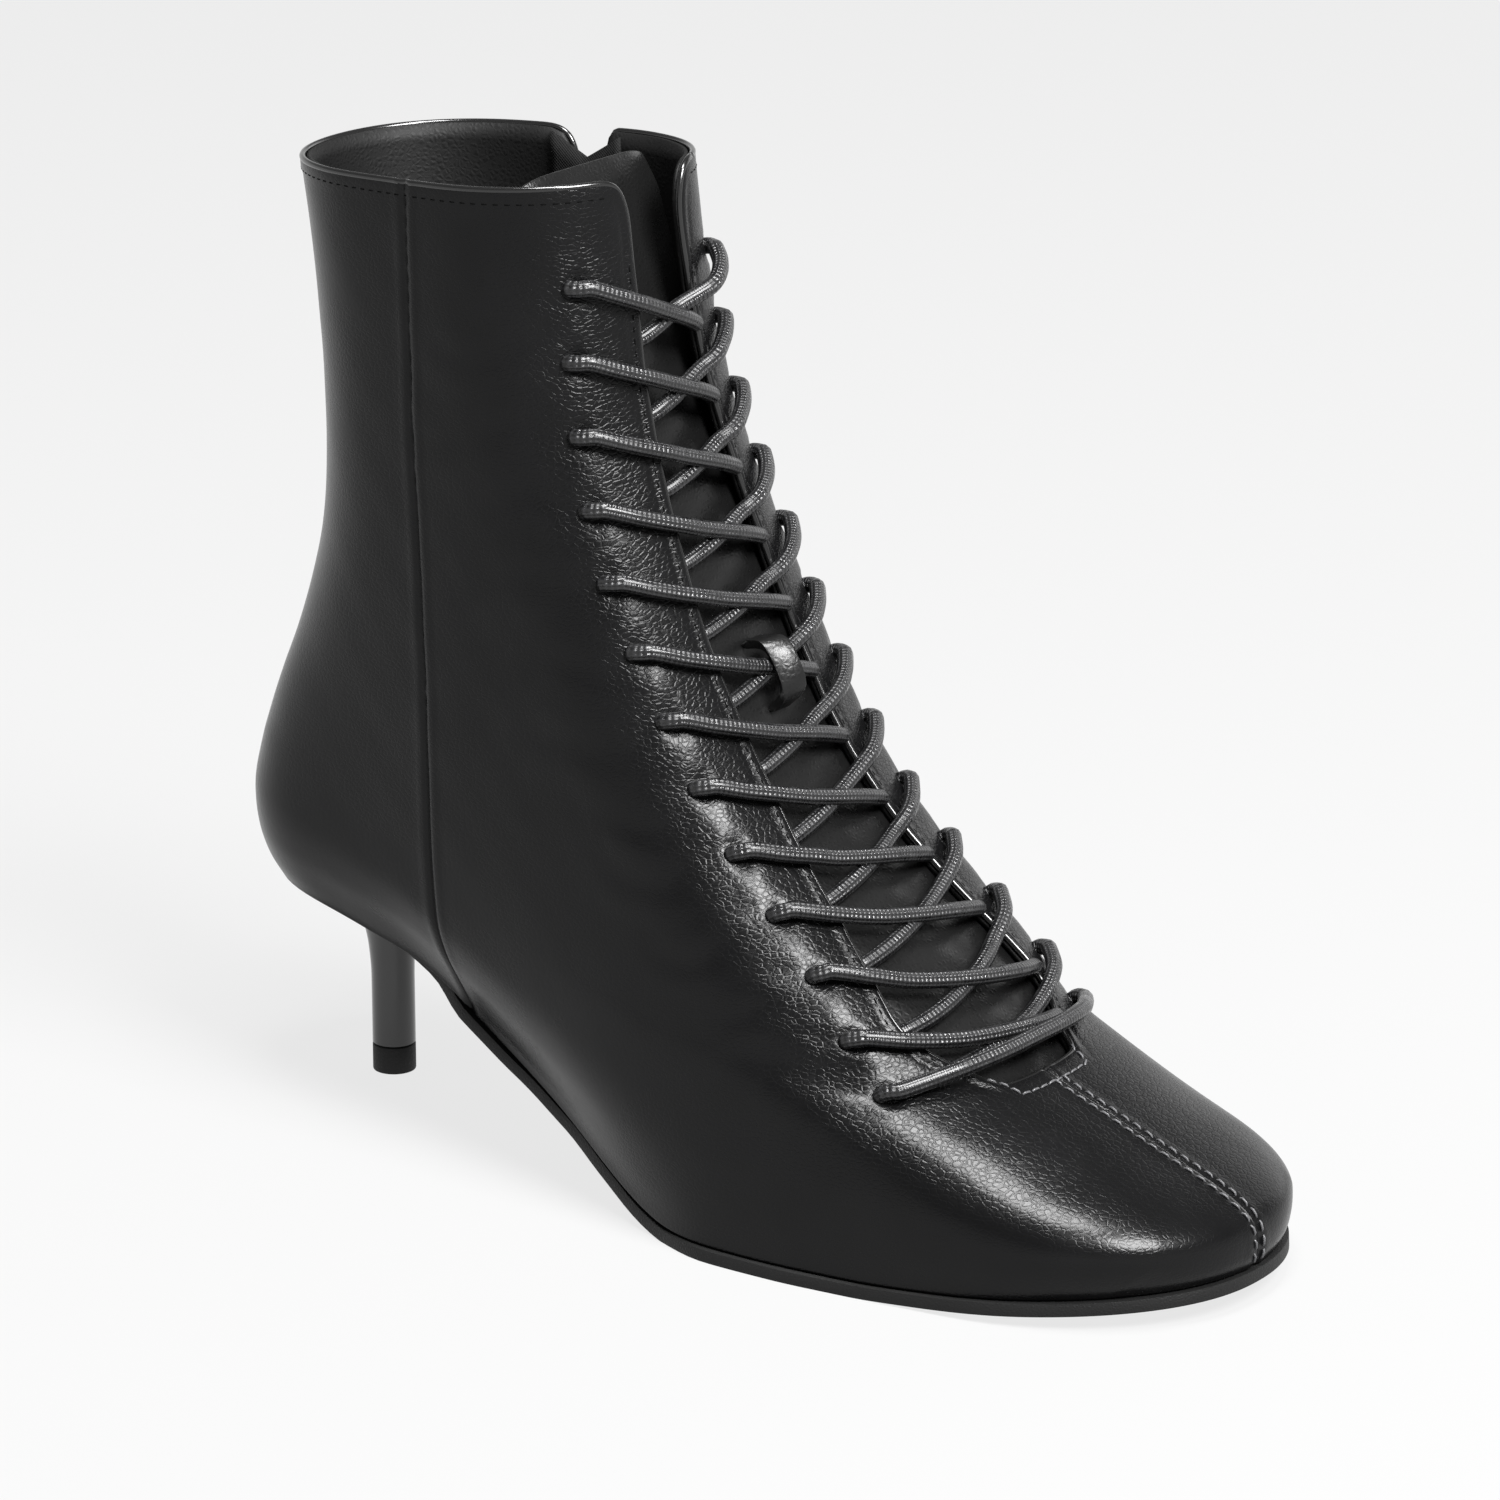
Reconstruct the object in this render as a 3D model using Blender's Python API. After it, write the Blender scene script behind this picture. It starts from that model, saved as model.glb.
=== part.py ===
"""A right lace up ankle boot on a slim kitten heel, standing on its sole.

+X points to the toe, +Y to the medial side (the wearer's left), +Z up. The origin is the
centre of the heel tip's face on the floor. Every curved form comes from one function, the
boot's skin, which turns a height on the boot and a place around it into a point.
"""
import math

import bmesh
import bpy
import numpy as np
from mathutils import Matrix, Vector

# Driving sizes of the boot, in metres
LENGTH = 0.247
HEIGHT = 0.205
HEEL_HEIGHT = 0.0446
BALL_WIDTH = 0.093
WALL = 0.0020
GAP = 0.0003

# Sole, heel and insole
SOLE_THICKNESS = 0.0026
SOLE_STEP = 0.0010
INSOLE_THICKNESS = 0.0022
INSOLE_INSET = WALL + 4 * GAP
SOLE_INSET = WALL + 2 * GAP
PLATE_END = 0.020
HEEL_COVER_END = 0.026
SOLE_EDGE_START = 0.040
TIP_RADIUS = 0.0046
TIP_HEIGHT = 0.0060

# Front opening
COLLAR_CORNER = 0.0070
THROAT_SPREAD = 0.022
TONGUE_THICKNESS = 0.0016
TONGUE_CLEARANCE = WALL + 1.5 * GAP
LACE_RADIUS = 0.00145
DIVE_SHARE = 0.80
LAST_DIVE_SHARE = 0.50
BAR_ROWS = 0.9
STRAND_TOP = 0.0016
STRAND_LOW = -0.0001
STRAND_LIFT_START = 0.0065
STRAND_LIFT_END = 0.0008
LACE_ROWS = 13
LACE_TOP_HEIGHT = HEIGHT - 0.0200
LACE_PITCH = 0.072 * HEIGHT
KEEPER_WIDTH = 0.0055
KEEPER_LENGTH = 0.0150
KEEPER_THICKNESS = 0.0012
KEEPER_RISE = 0.0045

# Zip on the medial side
SLOT_HALF = 0.0033
SLOT_FLARE = 0.0018
SLOT_BOTTOM_ROW = 4
COIL_HALF = 0.0026
COIL_THICKNESS = 0.0014
TAPE_HALF = 0.0085
TAPE_THICKNESS = 0.0008
ZIP_TOP_ROW = 20.35
SLIDER_ROW = 19.75
SLIDER_SIZE = (0.0074, 0.0021, 0.0095)
PULL_WIRE = 0.00055
PULL_ARM = 0.0034
PULL_LOOP = 0.0125
PULL_TAB = (0.0058, 0.0010, 0.0150)
BAIL_WIDTH = 0.0020
BAIL_WIRE = 0.0008
BAIL_RISE = 0.0024
BAIL_HALF = 0.0024
HINGE_PLAY = 0.0002

# Grid of the upper
BACK_COLUMNS = 7
FRONT_COLUMNS = 14
THROAT_COLUMNS = 3
FRONT_CROWD = 0.45
THROAT_ROW = 8
TOP_ROW = 21
FINE_STEPS = 160
TANGENT_STEP = 0.0008
TANGENT_ROWS = 0.1
SLOPE_STEP = 0.001
TONGUE_FLAT = 0.75
INSIDE_ALONG = 0.15
INSIDE_POINT = (0.20 * LENGTH, 0.0, 0.30 * HEIGHT)

# Bottom of the sole. along: share of LENGTH, rise: share of HEEL_HEIGHT
SOLE_LINE = {
    "along": (-0.110, 0.000, 0.047, 0.095, 0.147, 0.178, 0.209, 0.239, 0.270, 0.302, 0.330,
              0.353, 0.378, 0.400, 0.425, 0.607, 0.670, 0.730, 0.790, 0.880),
    "rise": (1.045, 1.000, 0.940, 0.825, 0.652, 0.545, 0.448, 0.370, 0.292, 0.224, 0.164,
             0.115, 0.062, 0.025, 0.000, 0.000, 0.015, 0.040, 0.066, 0.100)}

# Feather line, where upper meets sole. along: share of LENGTH, sides: shares of BALL_WIDTH
FEATHER = {
    "along": (-0.10, 0.00, 0.15, 0.21, 0.27, 0.33, 0.40, 0.475, 0.535, 0.595, 0.705, 0.88),
    "lateral": (0.268, 0.272, 0.268, 0.280, 0.315, 0.380, 0.452, 0.507, 0.502, 0.484,
                0.442, 0.355),
    "medial": (0.268, 0.272, 0.225, 0.212, 0.235, 0.295, 0.380, 0.450, 0.475, 0.472,
               0.442, 0.375)}

# Rows of the upper, feather line to collar. back and front: shares of LENGTH, the rises:
# shares of the way from the feather line's end up to HEIGHT, half_gap: share of BALL_WIDTH
# between the facings, follow: how far the row keeps the sole's drop
ROWS = {
    "back": (-0.094, -0.100, -0.106, -0.109, -0.111, -0.112, -0.1115, -0.1095, -0.106,
             -0.1035, -0.100, -0.095, -0.088, -0.0765, -0.061, -0.045, -0.032, -0.0285,
             -0.0305, -0.035, -0.0405, -0.048),
    "back_rise": (0.002, 0.014, 0.032, 0.052, 0.074, 0.098, 0.124, 0.146, 0.168, 0.1835,
                  0.203, 0.225, 0.256, 0.3005, 0.357, 0.433, 0.5205, 0.6155, 0.710, 0.805,
                  0.893, 0.975),
    "front": (0.875, 0.879, 0.8785, 0.8735, 0.854, 0.826, 0.787, 0.733, 0.673, 0.652, 0.6355,
              0.6135, 0.581, 0.5365, 0.484, 0.432, 0.3885, 0.3543, 0.326, 0.3057, 0.2955,
              0.2875),
    "front_rise": (0.0, 0.014, 0.029, 0.0465, 0.0645, 0.0795, 0.097, 0.1225, 0.150, 0.165,
                   0.183, 0.206, 0.241, 0.289, 0.3525, 0.4385, 0.5345, 0.636, 0.732, 0.8225,
                   0.914, 1.000),
    "half_gap": (0.0, 0.0, 0.0, 0.0, 0.0, 0.0, 0.0, 0.0, 0.140, 0.178, 0.228, 0.252, 0.231,
                 0.199, 0.169, 0.148, 0.150, 0.1365, 0.118, 0.102, 0.0935, 0.112),
    "follow": (1.0, 0.95, 0.90, 0.82, 0.74, 0.66, 0.58, 0.50, 0.42, 0.38, 0.34, 0.30, 0.26,
               0.20, 0.15, 0.10, 0.05, 0.0, 0.0, 0.0, 0.0, 0.0)}

# Half widths of the body, shares of BALL_WIDTH at four places along. blend: how far a row
# has left the feather line's width, nose: share of LENGTH over which the front closes,
# square: how blunt that front is
BODY = {
    "row": (0.0, 2.0, 4.0, 6.0, 8.0, 11.0, 14.0, 16.0, 18.0, 21.0),
    "blend": (0.0, 0.45, 0.85, 1.0, 1.0, 1.0, 1.0, 1.0, 1.0, 1.0),
    "heel": (0.275, 0.304, 0.314, 0.318, 0.315, 0.310, 0.298, 0.285, 0.283, 0.300),
    "waist": (0.270, 0.330, 0.362, 0.376, 0.382, 0.384, 0.382, 0.370, 0.352, 0.338),
    "ball": (0.500, 0.505, 0.502, 0.490, 0.476, 0.452, 0.412, 0.395, 0.365, 0.340),
    "toe": (0.440, 0.450, 0.436, 0.414, 0.400, 0.400, 0.380, 0.360, 0.340, 0.330),
    "nose": (0.180, 0.172, 0.186, 0.204, 0.215, 0.184, 0.146, 0.138, 0.138, 0.138),
    "square": (2.2, 2.25, 2.4, 2.5, 2.5, 2.7, 2.6, 2.7, 2.35, 2.4)}
BODY_PLACES = (0.0, 0.20, 0.48, 0.75)
BACK_ROUND = 0.112
BACK_SQUARE = 2.15

# Seam between quarter and back panel, and the zip's line on the other side, by row
SIDE_SEAM = {
    "row": (0.0, 4.0, 8.0, 14.0, 16.0, 18.0, 21.0),
    "along": (0.168, 0.161, 0.157, 0.154, 0.146, 0.134, 0.128)}

# Lace holes by row of the skin. half: share of BALL_WIDTH from the middle
HOLES = {
    "row": (8.0, 11.0, 13.0, 15.0, 16.5, 18.0, 20.0),
    "half": (0.352, 0.343, 0.305, 0.297, 0.300, 0.265, 0.222)}

# Tongue by row of the skin. half: share of BALL_WIDTH, sink: share of LENGTH behind the skin
TONGUE = {
    "row": (7.1, 8.0, 9.0, 10.5, 12.0, 14.0, 16.0, 18.0, 19.2, 20.2, 21.0),
    "half": (0.17, 0.25, 0.31, 0.35, 0.33, 0.30, 0.29, 0.28, 0.275, 0.265, 0.250),
    "sink": (0.0, 0.0, 0.0, 0.0, 0.0, 0.0, 0.002, 0.010, 0.022, 0.040, 0.058)}

# Heel stem rings. rise: share of the way from tip to seat, the rest in shares of TIP_RADIUS
STEM = {
    "rise": (0.0, 0.38, 0.55, 0.70, 0.82, 0.92, 1.0),
    "back": (1.0, 1.0, 1.12, 1.45, 2.05, 2.90, 4.20),
    "front": (1.0, 1.0, 1.02, 1.08, 1.25, 1.60, 2.20),
    "half": (1.0, 1.0, 1.05, 1.20, 1.60, 2.30, 3.60)}


def smooth(xs, ys, x):
    """Value at x of a smooth curve through the table's points, with no overshoot."""
    xs = np.asarray(xs, float)
    ys = np.asarray(ys, float)
    x = np.clip(np.asarray(x, float), xs[0], xs[-1])
    steps = np.diff(xs)
    slopes = np.diff(ys) / steps
    tangents = np.zeros(len(xs))
    same = slopes[:-1] * slopes[1:] > 0
    weight = steps[:-1] + steps[1:]
    before = (weight + steps[1:])[same]
    after = (weight + steps[:-1])[same]
    tangents[1:-1][same] = (before + after) / (before / slopes[:-1][same] + after / slopes[1:][same])
    tangents[0] = slopes[0]
    tangents[-1] = slopes[-1]
    i = np.clip(np.searchsorted(xs, x, side="right") - 1, 0, len(xs) - 2)
    h = steps[i]
    t = (x - xs[i]) / h
    return ((2 * t**3 - 3 * t**2 + 1) * ys[i] + (t**3 - 2 * t**2 + t) * h * tangents[i]
            + (3 * t**2 - 2 * t**3) * ys[i + 1] + (t**3 - t**2) * h * tangents[i + 1])


def ease(low, high, x):
    """0 below low, 1 above high, with a soft change between."""
    t = np.clip((np.asarray(x, float) - low) / (high - low), 0.0, 1.0)
    return t * t * (3 - 2 * t)


def sole_bottom(x):
    """Height of the outsole's lower face at a place along the boot."""
    return HEEL_HEIGHT * smooth(SOLE_LINE["along"], SOLE_LINE["rise"], np.asarray(x) / LENGTH)


def sole_rise(x, depth):
    """Upright height of a layer of the given depth on the sloping sole."""
    slope = (sole_bottom(x + SLOPE_STEP) - sole_bottom(x - SLOPE_STEP)) / (2 * SLOPE_STEP)
    return depth * np.sqrt(1 + slope**2)


def feather_lift(x):
    """The upper covers the outsole's edge at the heel and stands on the outsole in front."""
    lift = sole_rise(x, SOLE_THICKNESS + GAP)
    return lift * ease(0.6 * HEEL_COVER_END, HEEL_COVER_END, x)


def rounded(distance, reach, power):
    """Share of the full width, a distance from the end, of an end that closes over reach."""
    u = np.clip(1.0 - distance / reach, 0.0, 1.0)
    return (1.0 - u**power) ** (1.0 / power)


def row_value(column, row):
    return float(smooth(range(TOP_ROW + 1), ROWS[column], row))


def body_value(column, row):
    return float(smooth(BODY["row"], BODY[column], row))


def row_end(row, end):
    """Place along and height of a row's back or front end."""
    first = LENGTH * ROWS[end][0]
    base = float(sole_bottom(first) + feather_lift(first))
    return LENGTH * row_value(end, row), base + (HEIGHT - base) * row_value(end + "_rise", row)


def half_width(row, side, x):
    """Half width of a row before its ends are rounded, on the side -1 lateral or +1 medial."""
    name = "medial" if side > 0 else "lateral"
    feather = smooth(FEATHER["along"], FEATHER[name], x / LENGTH)
    places = [body_value(name_, row) for name_ in ("heel", "waist", "ball", "toe")]
    body = smooth(BODY_PLACES, places, x / LENGTH)
    blend = body_value("blend", row)
    return BALL_WIDTH * (feather * (1 - blend) + body * blend)


def fine_loop(row, side):
    """One side of a closed row of the skin, back centre to front centre, finely divided."""
    back, back_z = row_end(row, "back")
    front, front_z = row_end(row, "front")
    t = (1 - np.cos(np.linspace(0, math.pi, FINE_STEPS))) / 2
    x = back + (front - back) * t
    width = half_width(row, side, x)
    width = width * rounded(x - back, LENGTH * BACK_ROUND, BACK_SQUARE)
    width = width * rounded(front - x, LENGTH * body_value("nose", row), body_value("square", row))
    line = back_z + (front_z - back_z) * t
    floor = sole_bottom(x) + feather_lift(x)
    drop = floor - (floor[0] + (floor[-1] - floor[0]) * t)
    z = line + row_value("follow", row) * drop
    return np.stack([x, side * width, z], axis=1)


def arc_lengths(points):
    return np.concatenate([[0.0], np.cumsum(np.linalg.norm(np.diff(points, axis=0), axis=1))])


def at_arc(points, arcs, s):
    """Points at given lengths s along a fine line."""
    return np.stack([np.interp(s, arcs, points[:, k]) for k in range(3)], axis=-1)


def front_point(row, arc):
    """A point of the skin, given by its length round the row from the front centre."""
    side = 1 if arc >= 0 else -1
    line = fine_loop(row, side)[::-1]
    return at_arc(line, arc_lengths(line), abs(arc))


def side_point(row, side, arc):
    """A point of the skin, given by its length forward from the side seam."""
    line = fine_loop(row, side)
    arcs = arc_lengths(line)
    seam = LENGTH * float(smooth(SIDE_SEAM["row"], SIDE_SEAM["along"], row))
    start = float(np.interp(seam, line[:, 0], arcs))
    return at_arc(line, arcs, start + arc)


def frame_at(point, row, arc, *rest):
    """A skin point with its outward normal and its two tangents, forward and upward."""
    p = point(row, *rest, arc)
    across = point(row, *rest, arc + TANGENT_STEP) - point(row, *rest, arc - TANGENT_STEP)
    high = min(row + TANGENT_ROWS, TOP_ROW)
    low = max(row - TANGENT_ROWS, 0.0)
    up = point(high, *rest, arc) - point(low, *rest, arc)
    normal = np.cross(across, up)
    normal = normal / np.linalg.norm(normal)
    inside = np.array([INSIDE_ALONG * LENGTH, 0.0, 0.5 * p[2]])
    if np.dot(normal, p - inside) < 0:
        normal = -normal
    up = up / np.linalg.norm(up)
    up = up - normal * np.dot(up, normal)
    up = up / np.linalg.norm(up)
    return p, normal, up


def off_front(row, arc, offset):
    p, normal, _ = frame_at(front_point, row, arc)
    return p + normal * offset


def off_side(row, side, arc, offset):
    p, normal, _ = frame_at(side_point, row, arc, side)
    return p + normal * offset


def arc_at_width(row, side, width):
    """Length round a row from the front centre to where the skin reaches a half width."""
    line = fine_loop(row, side)[::-1]
    arcs = arc_lengths(line)
    widths = np.abs(line[:, 1])
    widest = int(np.argmax(widths)) + 1
    return float(np.interp(width, widths[:widest], arcs[:widest]))


def facing_arc(row, side):
    """Length from the front centre to the facing's edge, round a row above the throat."""
    return arc_at_width(row, side, BALL_WIDTH * row_value("half_gap", row))


def opening_arc(row, side):
    """Length from the front centre to the facing's edge, or below it to the throat's column."""
    if row >= THROAT_ROW:
        return facing_arc(row, side)
    share = row_value("half_gap", THROAT_ROW) + THROAT_SPREAD * (THROAT_ROW - row)
    return arc_at_width(row, side, BALL_WIDTH * share)


def hole_arc(row, side):
    """Length from the front centre to the line of the lace holes."""
    return arc_at_width(row, side, BALL_WIDTH * float(smooth(HOLES["row"], HOLES["half"], row)))


def lace_rows():
    """Rows of the skin at the lace holes, evenly spaced down their line from the top one."""
    rows = np.linspace(TOP_ROW, THROAT_ROW, FINE_STEPS)
    line = np.array([front_point(r, -hole_arc(r, -1)) for r in rows])
    arcs = arc_lengths(line)
    start = float(np.interp(-LACE_TOP_HEIGHT, -line[:, 2], arcs))
    return np.interp(start + LACE_PITCH * np.arange(LACE_ROWS), arcs, rows)


def material(name, color, roughness, metallic=0.0):
    made = bpy.data.materials.new(name)
    made.use_nodes = True
    shader = made.node_tree.nodes["Principled BSDF"]
    shader.inputs["Base Color"].default_value = (*color, 1.0)
    shader.inputs["Roughness"].default_value = roughness
    shader.inputs["Metallic"].default_value = metallic
    return made


def finish_mesh(name, bm, surface):
    """Turn a bmesh into an object with its material, its faces pointing one way."""
    bmesh.ops.recalc_face_normals(bm, faces=bm.faces)
    mesh = bpy.data.meshes.new(name)
    bm.to_mesh(mesh)
    bm.free()
    made = bpy.data.objects.new(name, mesh)
    bpy.context.scene.collection.objects.link(made)
    mesh.materials.append(surface)
    mesh.shade_smooth()
    mesh.set_sharp_from_angle(angle=math.radians(50))
    return made


def grid_mesh(name, points, surface):
    """An open sheet from a grid of points, rows by columns. Equal points are joined."""
    bm = bmesh.new()
    rows = [[bm.verts.new(p) for p in line] for line in points]
    for low, high in zip(rows[:-1], rows[1:]):
        for j in range(len(low) - 1):
            bm.faces.new((low[j], low[j + 1], high[j + 1], high[j]))
    bmesh.ops.remove_doubles(bm, verts=bm.verts, dist=1e-5)
    return finish_mesh(name, bm, surface)


def face_outward(made, inside_point):
    """Flip an open sheet whose normals point at a place that is inside the boot."""
    mesh = made.data
    total = 0.0
    for face in mesh.polygons:
        total += face.area * face.normal.dot(face.center - Vector(inside_point))
    if total < 0:
        mesh.flip_normals()


def thicken(made, thickness, offset=-1.0):
    solid = made.modifiers.new("Wall", "SOLIDIFY")
    solid.thickness = thickness
    solid.offset = offset
    solid.use_even_offset = True
    return solid


def upper_columns(row, side):
    """Points of one row of the upper on one side, back centre to front centre."""
    line = fine_loop(row, side)
    arcs = arc_lengths(line)
    end = arcs[-1] - opening_arc(row, side)
    seam = LENGTH * float(smooth(SIDE_SEAM["row"], SIDE_SEAM["along"], row))
    start = float(np.interp(seam, line[:, 0], arcs))
    slot = SLOT_HALF + SLOT_FLARE * float(ease(ZIP_TOP_ROW, TOP_ROW, row))
    back_part = (start - slot) * np.linspace(0, 1, BACK_COLUMNS + 1)[:-1]
    seam_part = np.array([start - slot, start, start + slot])
    crowd = 1.0 + FRONT_CROWD * (1 - float(ease(6, 14, row)))
    share = 1 - (1 - np.linspace(0, 1, FRONT_COLUMNS + 1)[1:]) ** crowd
    front_part = start + slot + (end - start - slot) * share
    throat_part = end + (arcs[-1] - end) * np.linspace(0, 1, THROAT_COLUMNS + 1)[1:]
    stops = np.concatenate([back_part, seam_part, front_part, throat_part])
    points = at_arc(line, arcs, stops)
    if row == TOP_ROW:
        near = np.clip(1 - (end - stops) / COLLAR_CORNER, 0, 1)
        points[:, 2] -= COLLAR_CORNER * (1 - np.sqrt(1 - near**2))
    return points


def build_upper(surface):
    """The upper's outer skin as a grid, with the throat and the zip's slot left out."""
    bm = bmesh.new()
    sides = {}
    last = BACK_COLUMNS + 2 + FRONT_COLUMNS + THROAT_COLUMNS
    for side in (-1, 1):
        grid = []
        for row in range(TOP_ROW + 1):
            grid.append([bm.verts.new(p) for p in upper_columns(row, side)])
        sides[side] = grid
    slot_columns = (BACK_COLUMNS, BACK_COLUMNS + 1)
    for side, grid in sides.items():
        for row in range(TOP_ROW):
            for j in range(last):
                if side > 0 and row >= SLOT_BOTTOM_ROW and j in slot_columns:
                    continue
                if row >= THROAT_ROW and j >= last - THROAT_COLUMNS:
                    continue
                bm.faces.new((grid[row][j], grid[row][j + 1], grid[row + 1][j + 1],
                              grid[row + 1][j]))
    loose = [v for v in bm.verts if not v.link_faces]
    bmesh.ops.delete(bm, geom=loose, context="VERTS")
    bmesh.ops.remove_doubles(bm, verts=bm.verts, dist=1e-5)
    made = finish_mesh("upper", bm, surface)
    face_outward(made, INSIDE_POINT)
    thicken(made, WALL)
    return made


def plate_points(margin, count=44, across=6):
    """Grid of plan points inside the feather line, moved out by margin(x) at its edge."""
    edges = []
    for side in (-1, 1):
        line = fine_loop(0, side)
        back = line[0, 0] - float(margin(line[0, 0]))
        front = line[-1, 0] + float(margin(line[-1, 0]))
        t = (1 - np.cos(np.linspace(0, math.pi, count + 1))) / 2
        x = back + (front - back) * t
        source = line[0, 0] + (line[-1, 0] - line[0, 0]) * t
        y = np.interp(source, line[:, 0], np.abs(line[:, 1]))
        ends = rounded(x - back, PLATE_END, 2.0) * rounded(front - x, PLATE_END, 2.0)
        edges.append(side * (y + margin(x) * ends))
    shares = np.linspace(0, 1, across + 1)
    return x, [edges[0] + (edges[1] - edges[0]) * s for s in shares]


def build_plate(name, margin, height, thickness, surface):
    """A sheet over the whole foot: height(x) is its lower face, thickened upward."""
    x, lines = plate_points(margin)
    z = height(x)
    points = [[(x[i], line[i], z[i]) for i in range(len(x))] for line in lines]
    made = grid_mesh(name, points, surface)
    if sum(face.normal.z * face.area for face in made.data.polygons) > 0:
        made.data.flip_normals()
    thicken(made, thickness, -1.0)
    return made


def sole_margin(x):
    step = SOLE_STEP + SOLE_INSET
    return step * ease(1.1 * HEEL_COVER_END, SOLE_EDGE_START, x) - SOLE_INSET


def insole_margin(x):
    return np.full(np.shape(x), -INSOLE_INSET)


def build_outsole(surface):
    return build_plate("outsole", sole_margin, sole_bottom, SOLE_THICKNESS, surface)


def build_insole(surface):
    def height(x):
        return sole_bottom(x) + sole_rise(x, SOLE_THICKNESS + 2 * GAP)
    return build_plate("insole", insole_margin, height, INSOLE_THICKNESS, surface)


def ring_solid(name, rings, surface):
    """A closed solid through rings of points that have the same count."""
    bm = bmesh.new()
    made = [[bm.verts.new(p) for p in ring] for ring in rings]
    for low, high in zip(made[:-1], made[1:]):
        for i in range(len(low)):
            j = (i + 1) % len(low)
            bm.faces.new((low[i], low[j], high[j], high[i]))
    bm.faces.new(made[0][::-1])
    bm.faces.new(made[-1])
    return finish_mesh(name, bm, surface)


def build_heel(surface, sides=20):
    """The stem, round at the tip and flared into the seat, mostly to the back."""
    start = TIP_HEIGHT + GAP
    rings = []
    for rise, back, front, half in zip(*(STEM[k] for k in ("rise", "back", "front", "half"))):
        ring = []
        for i in range(sides):
            angle = 2 * math.pi * i / sides
            reach = front if math.cos(angle) > 0 else back
            x = TIP_RADIUS * reach * math.cos(angle)
            y = TIP_RADIUS * half * math.sin(angle)
            seat = float(sole_bottom(x)) - GAP
            ring.append((x, y, start + (seat - start) * rise))
        rings.append(ring)
    return ring_solid("heel", rings, surface)


def build_heel_tip(surface):
    bpy.ops.mesh.primitive_cylinder_add(vertices=32, radius=TIP_RADIUS, depth=TIP_HEIGHT,
                                        location=(0, 0, TIP_HEIGHT / 2))
    made = bpy.context.object
    made.name = "heel_tip"
    made.data.materials.append(surface)
    made.data.shade_smooth()
    made.data.set_sharp_from_angle(angle=math.radians(50))
    return made


def build_tongue(surface, across=8):
    """The tongue follows the skin below the facings, and leans back at its straight top."""
    rows = np.linspace(TONGUE["row"][0], TONGUE["row"][-1], 24)
    grid = []
    for row in rows:
        half = BALL_WIDTH * float(smooth(TONGUE["row"], TONGUE["half"], row))
        sink = LENGTH * float(smooth(TONGUE["row"], TONGUE["sink"], row))
        centre = off_front(row, 0.0, -TONGUE_CLEARANCE)
        flat = TONGUE_FLAT * float(ease(18.0, 21.0, row))
        line = []
        for s in np.linspace(-1, 1, across + 1):
            p = off_front(row, s * half, -TONGUE_CLEARANCE)
            p[0] = p[0] + (centre[0] - p[0]) * flat - sink
            line.append(p)
        grid.append(line)
    made = grid_mesh("tongue", grid, surface)
    face_outward(made, (0.0, 0.0, INSIDE_POINT[2]))
    thicken(made, TONGUE_THICKNESS)
    return made


def tube_rings(path, radius, sides=6):
    """Rings round a path, each square to it."""
    path = [Vector(p) for p in path]
    rings = []
    guide = Vector((0.3, 0.2, 1.0))
    for i, p in enumerate(path):
        ahead = path[min(i + 1, len(path) - 1)]
        behind = path[max(i - 1, 0)]
        along = (ahead - behind).normalized()
        first = along.cross(guide).normalized()
        second = along.cross(first)
        ring = []
        for k in range(sides):
            angle = 2 * math.pi * k / sides
            ring.append(p + (first * math.cos(angle) + second * math.sin(angle)) * radius)
        rings.append(ring)
    return rings


def strand_path(row_out, row_in, side, high, points=7):
    """A strand from its hole on one side, over its facing, to the far facing's edge."""
    out_arc = hole_arc(row_out, side) - 2 * LACE_RADIUS
    in_arc = facing_arc(row_in, -side) - LACE_RADIUS - 3 * GAP
    over_edge = LACE_RADIUS + 3 * GAP
    path = []
    for t in np.linspace(0, 1, points):
        row = row_out + (row_in - row_out) * t
        arc = side * (out_arc + (-in_arc - out_arc) * t)
        edge = side * arc - facing_arc(row, side)
        rising = float(ease(-STRAND_LIFT_START, -STRAND_LIFT_END, edge))
        lift = over_edge + (high - over_edge) * (1 - rising)
        path.append(off_front(row, arc, lift))
    return path


def hide_cutter(made):
    made.hide_render = True
    made.display_type = "WIRE"


def build_laces(surface):
    """Crossings of two strands joined where they meet, and the lowest straight bar."""
    holes = lace_rows()
    for k in range(LACE_ROWS - 1):
        share = DIVE_SHARE if k < LACE_ROWS - 2 else LAST_DIVE_SHARE
        row_in = holes[k] + share * (holes[k + 1] - holes[k])
        top = strand_path(holes[k], row_in, -1, STRAND_TOP)
        low = strand_path(holes[k], row_in, 1, STRAND_LOW)
        number = f"{k + 1:02d}"
        made = ring_solid("lace_cross_" + number, tube_rings(top, LACE_RADIUS), surface)
        other = ring_solid("lace_under_" + number, tube_rings(low, LACE_RADIUS), surface)
        hide_cutter(other)
        union = made.modifiers.new("Crossing", "BOOLEAN")
        union.operation = "UNION"
        union.object = other
    row = holes[-1]
    reach = hole_arc(row, 1) - 2 * LACE_RADIUS
    path = []
    for t in np.linspace(0, 1, 11):
        arc = reach * (2 * t - 1)
        over_cross = 2 * LACE_RADIUS * float(ease(0.0, 0.25, t) * ease(0.0, 0.25, 1 - t))
        lift = LACE_RADIUS + 3 * GAP + over_cross
        path.append(off_front(row + BAR_ROWS * 4 * t * (1 - t), arc, lift))
    ring_solid("lace_bar", tube_rings(path, LACE_RADIUS), surface)
    return holes


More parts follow.
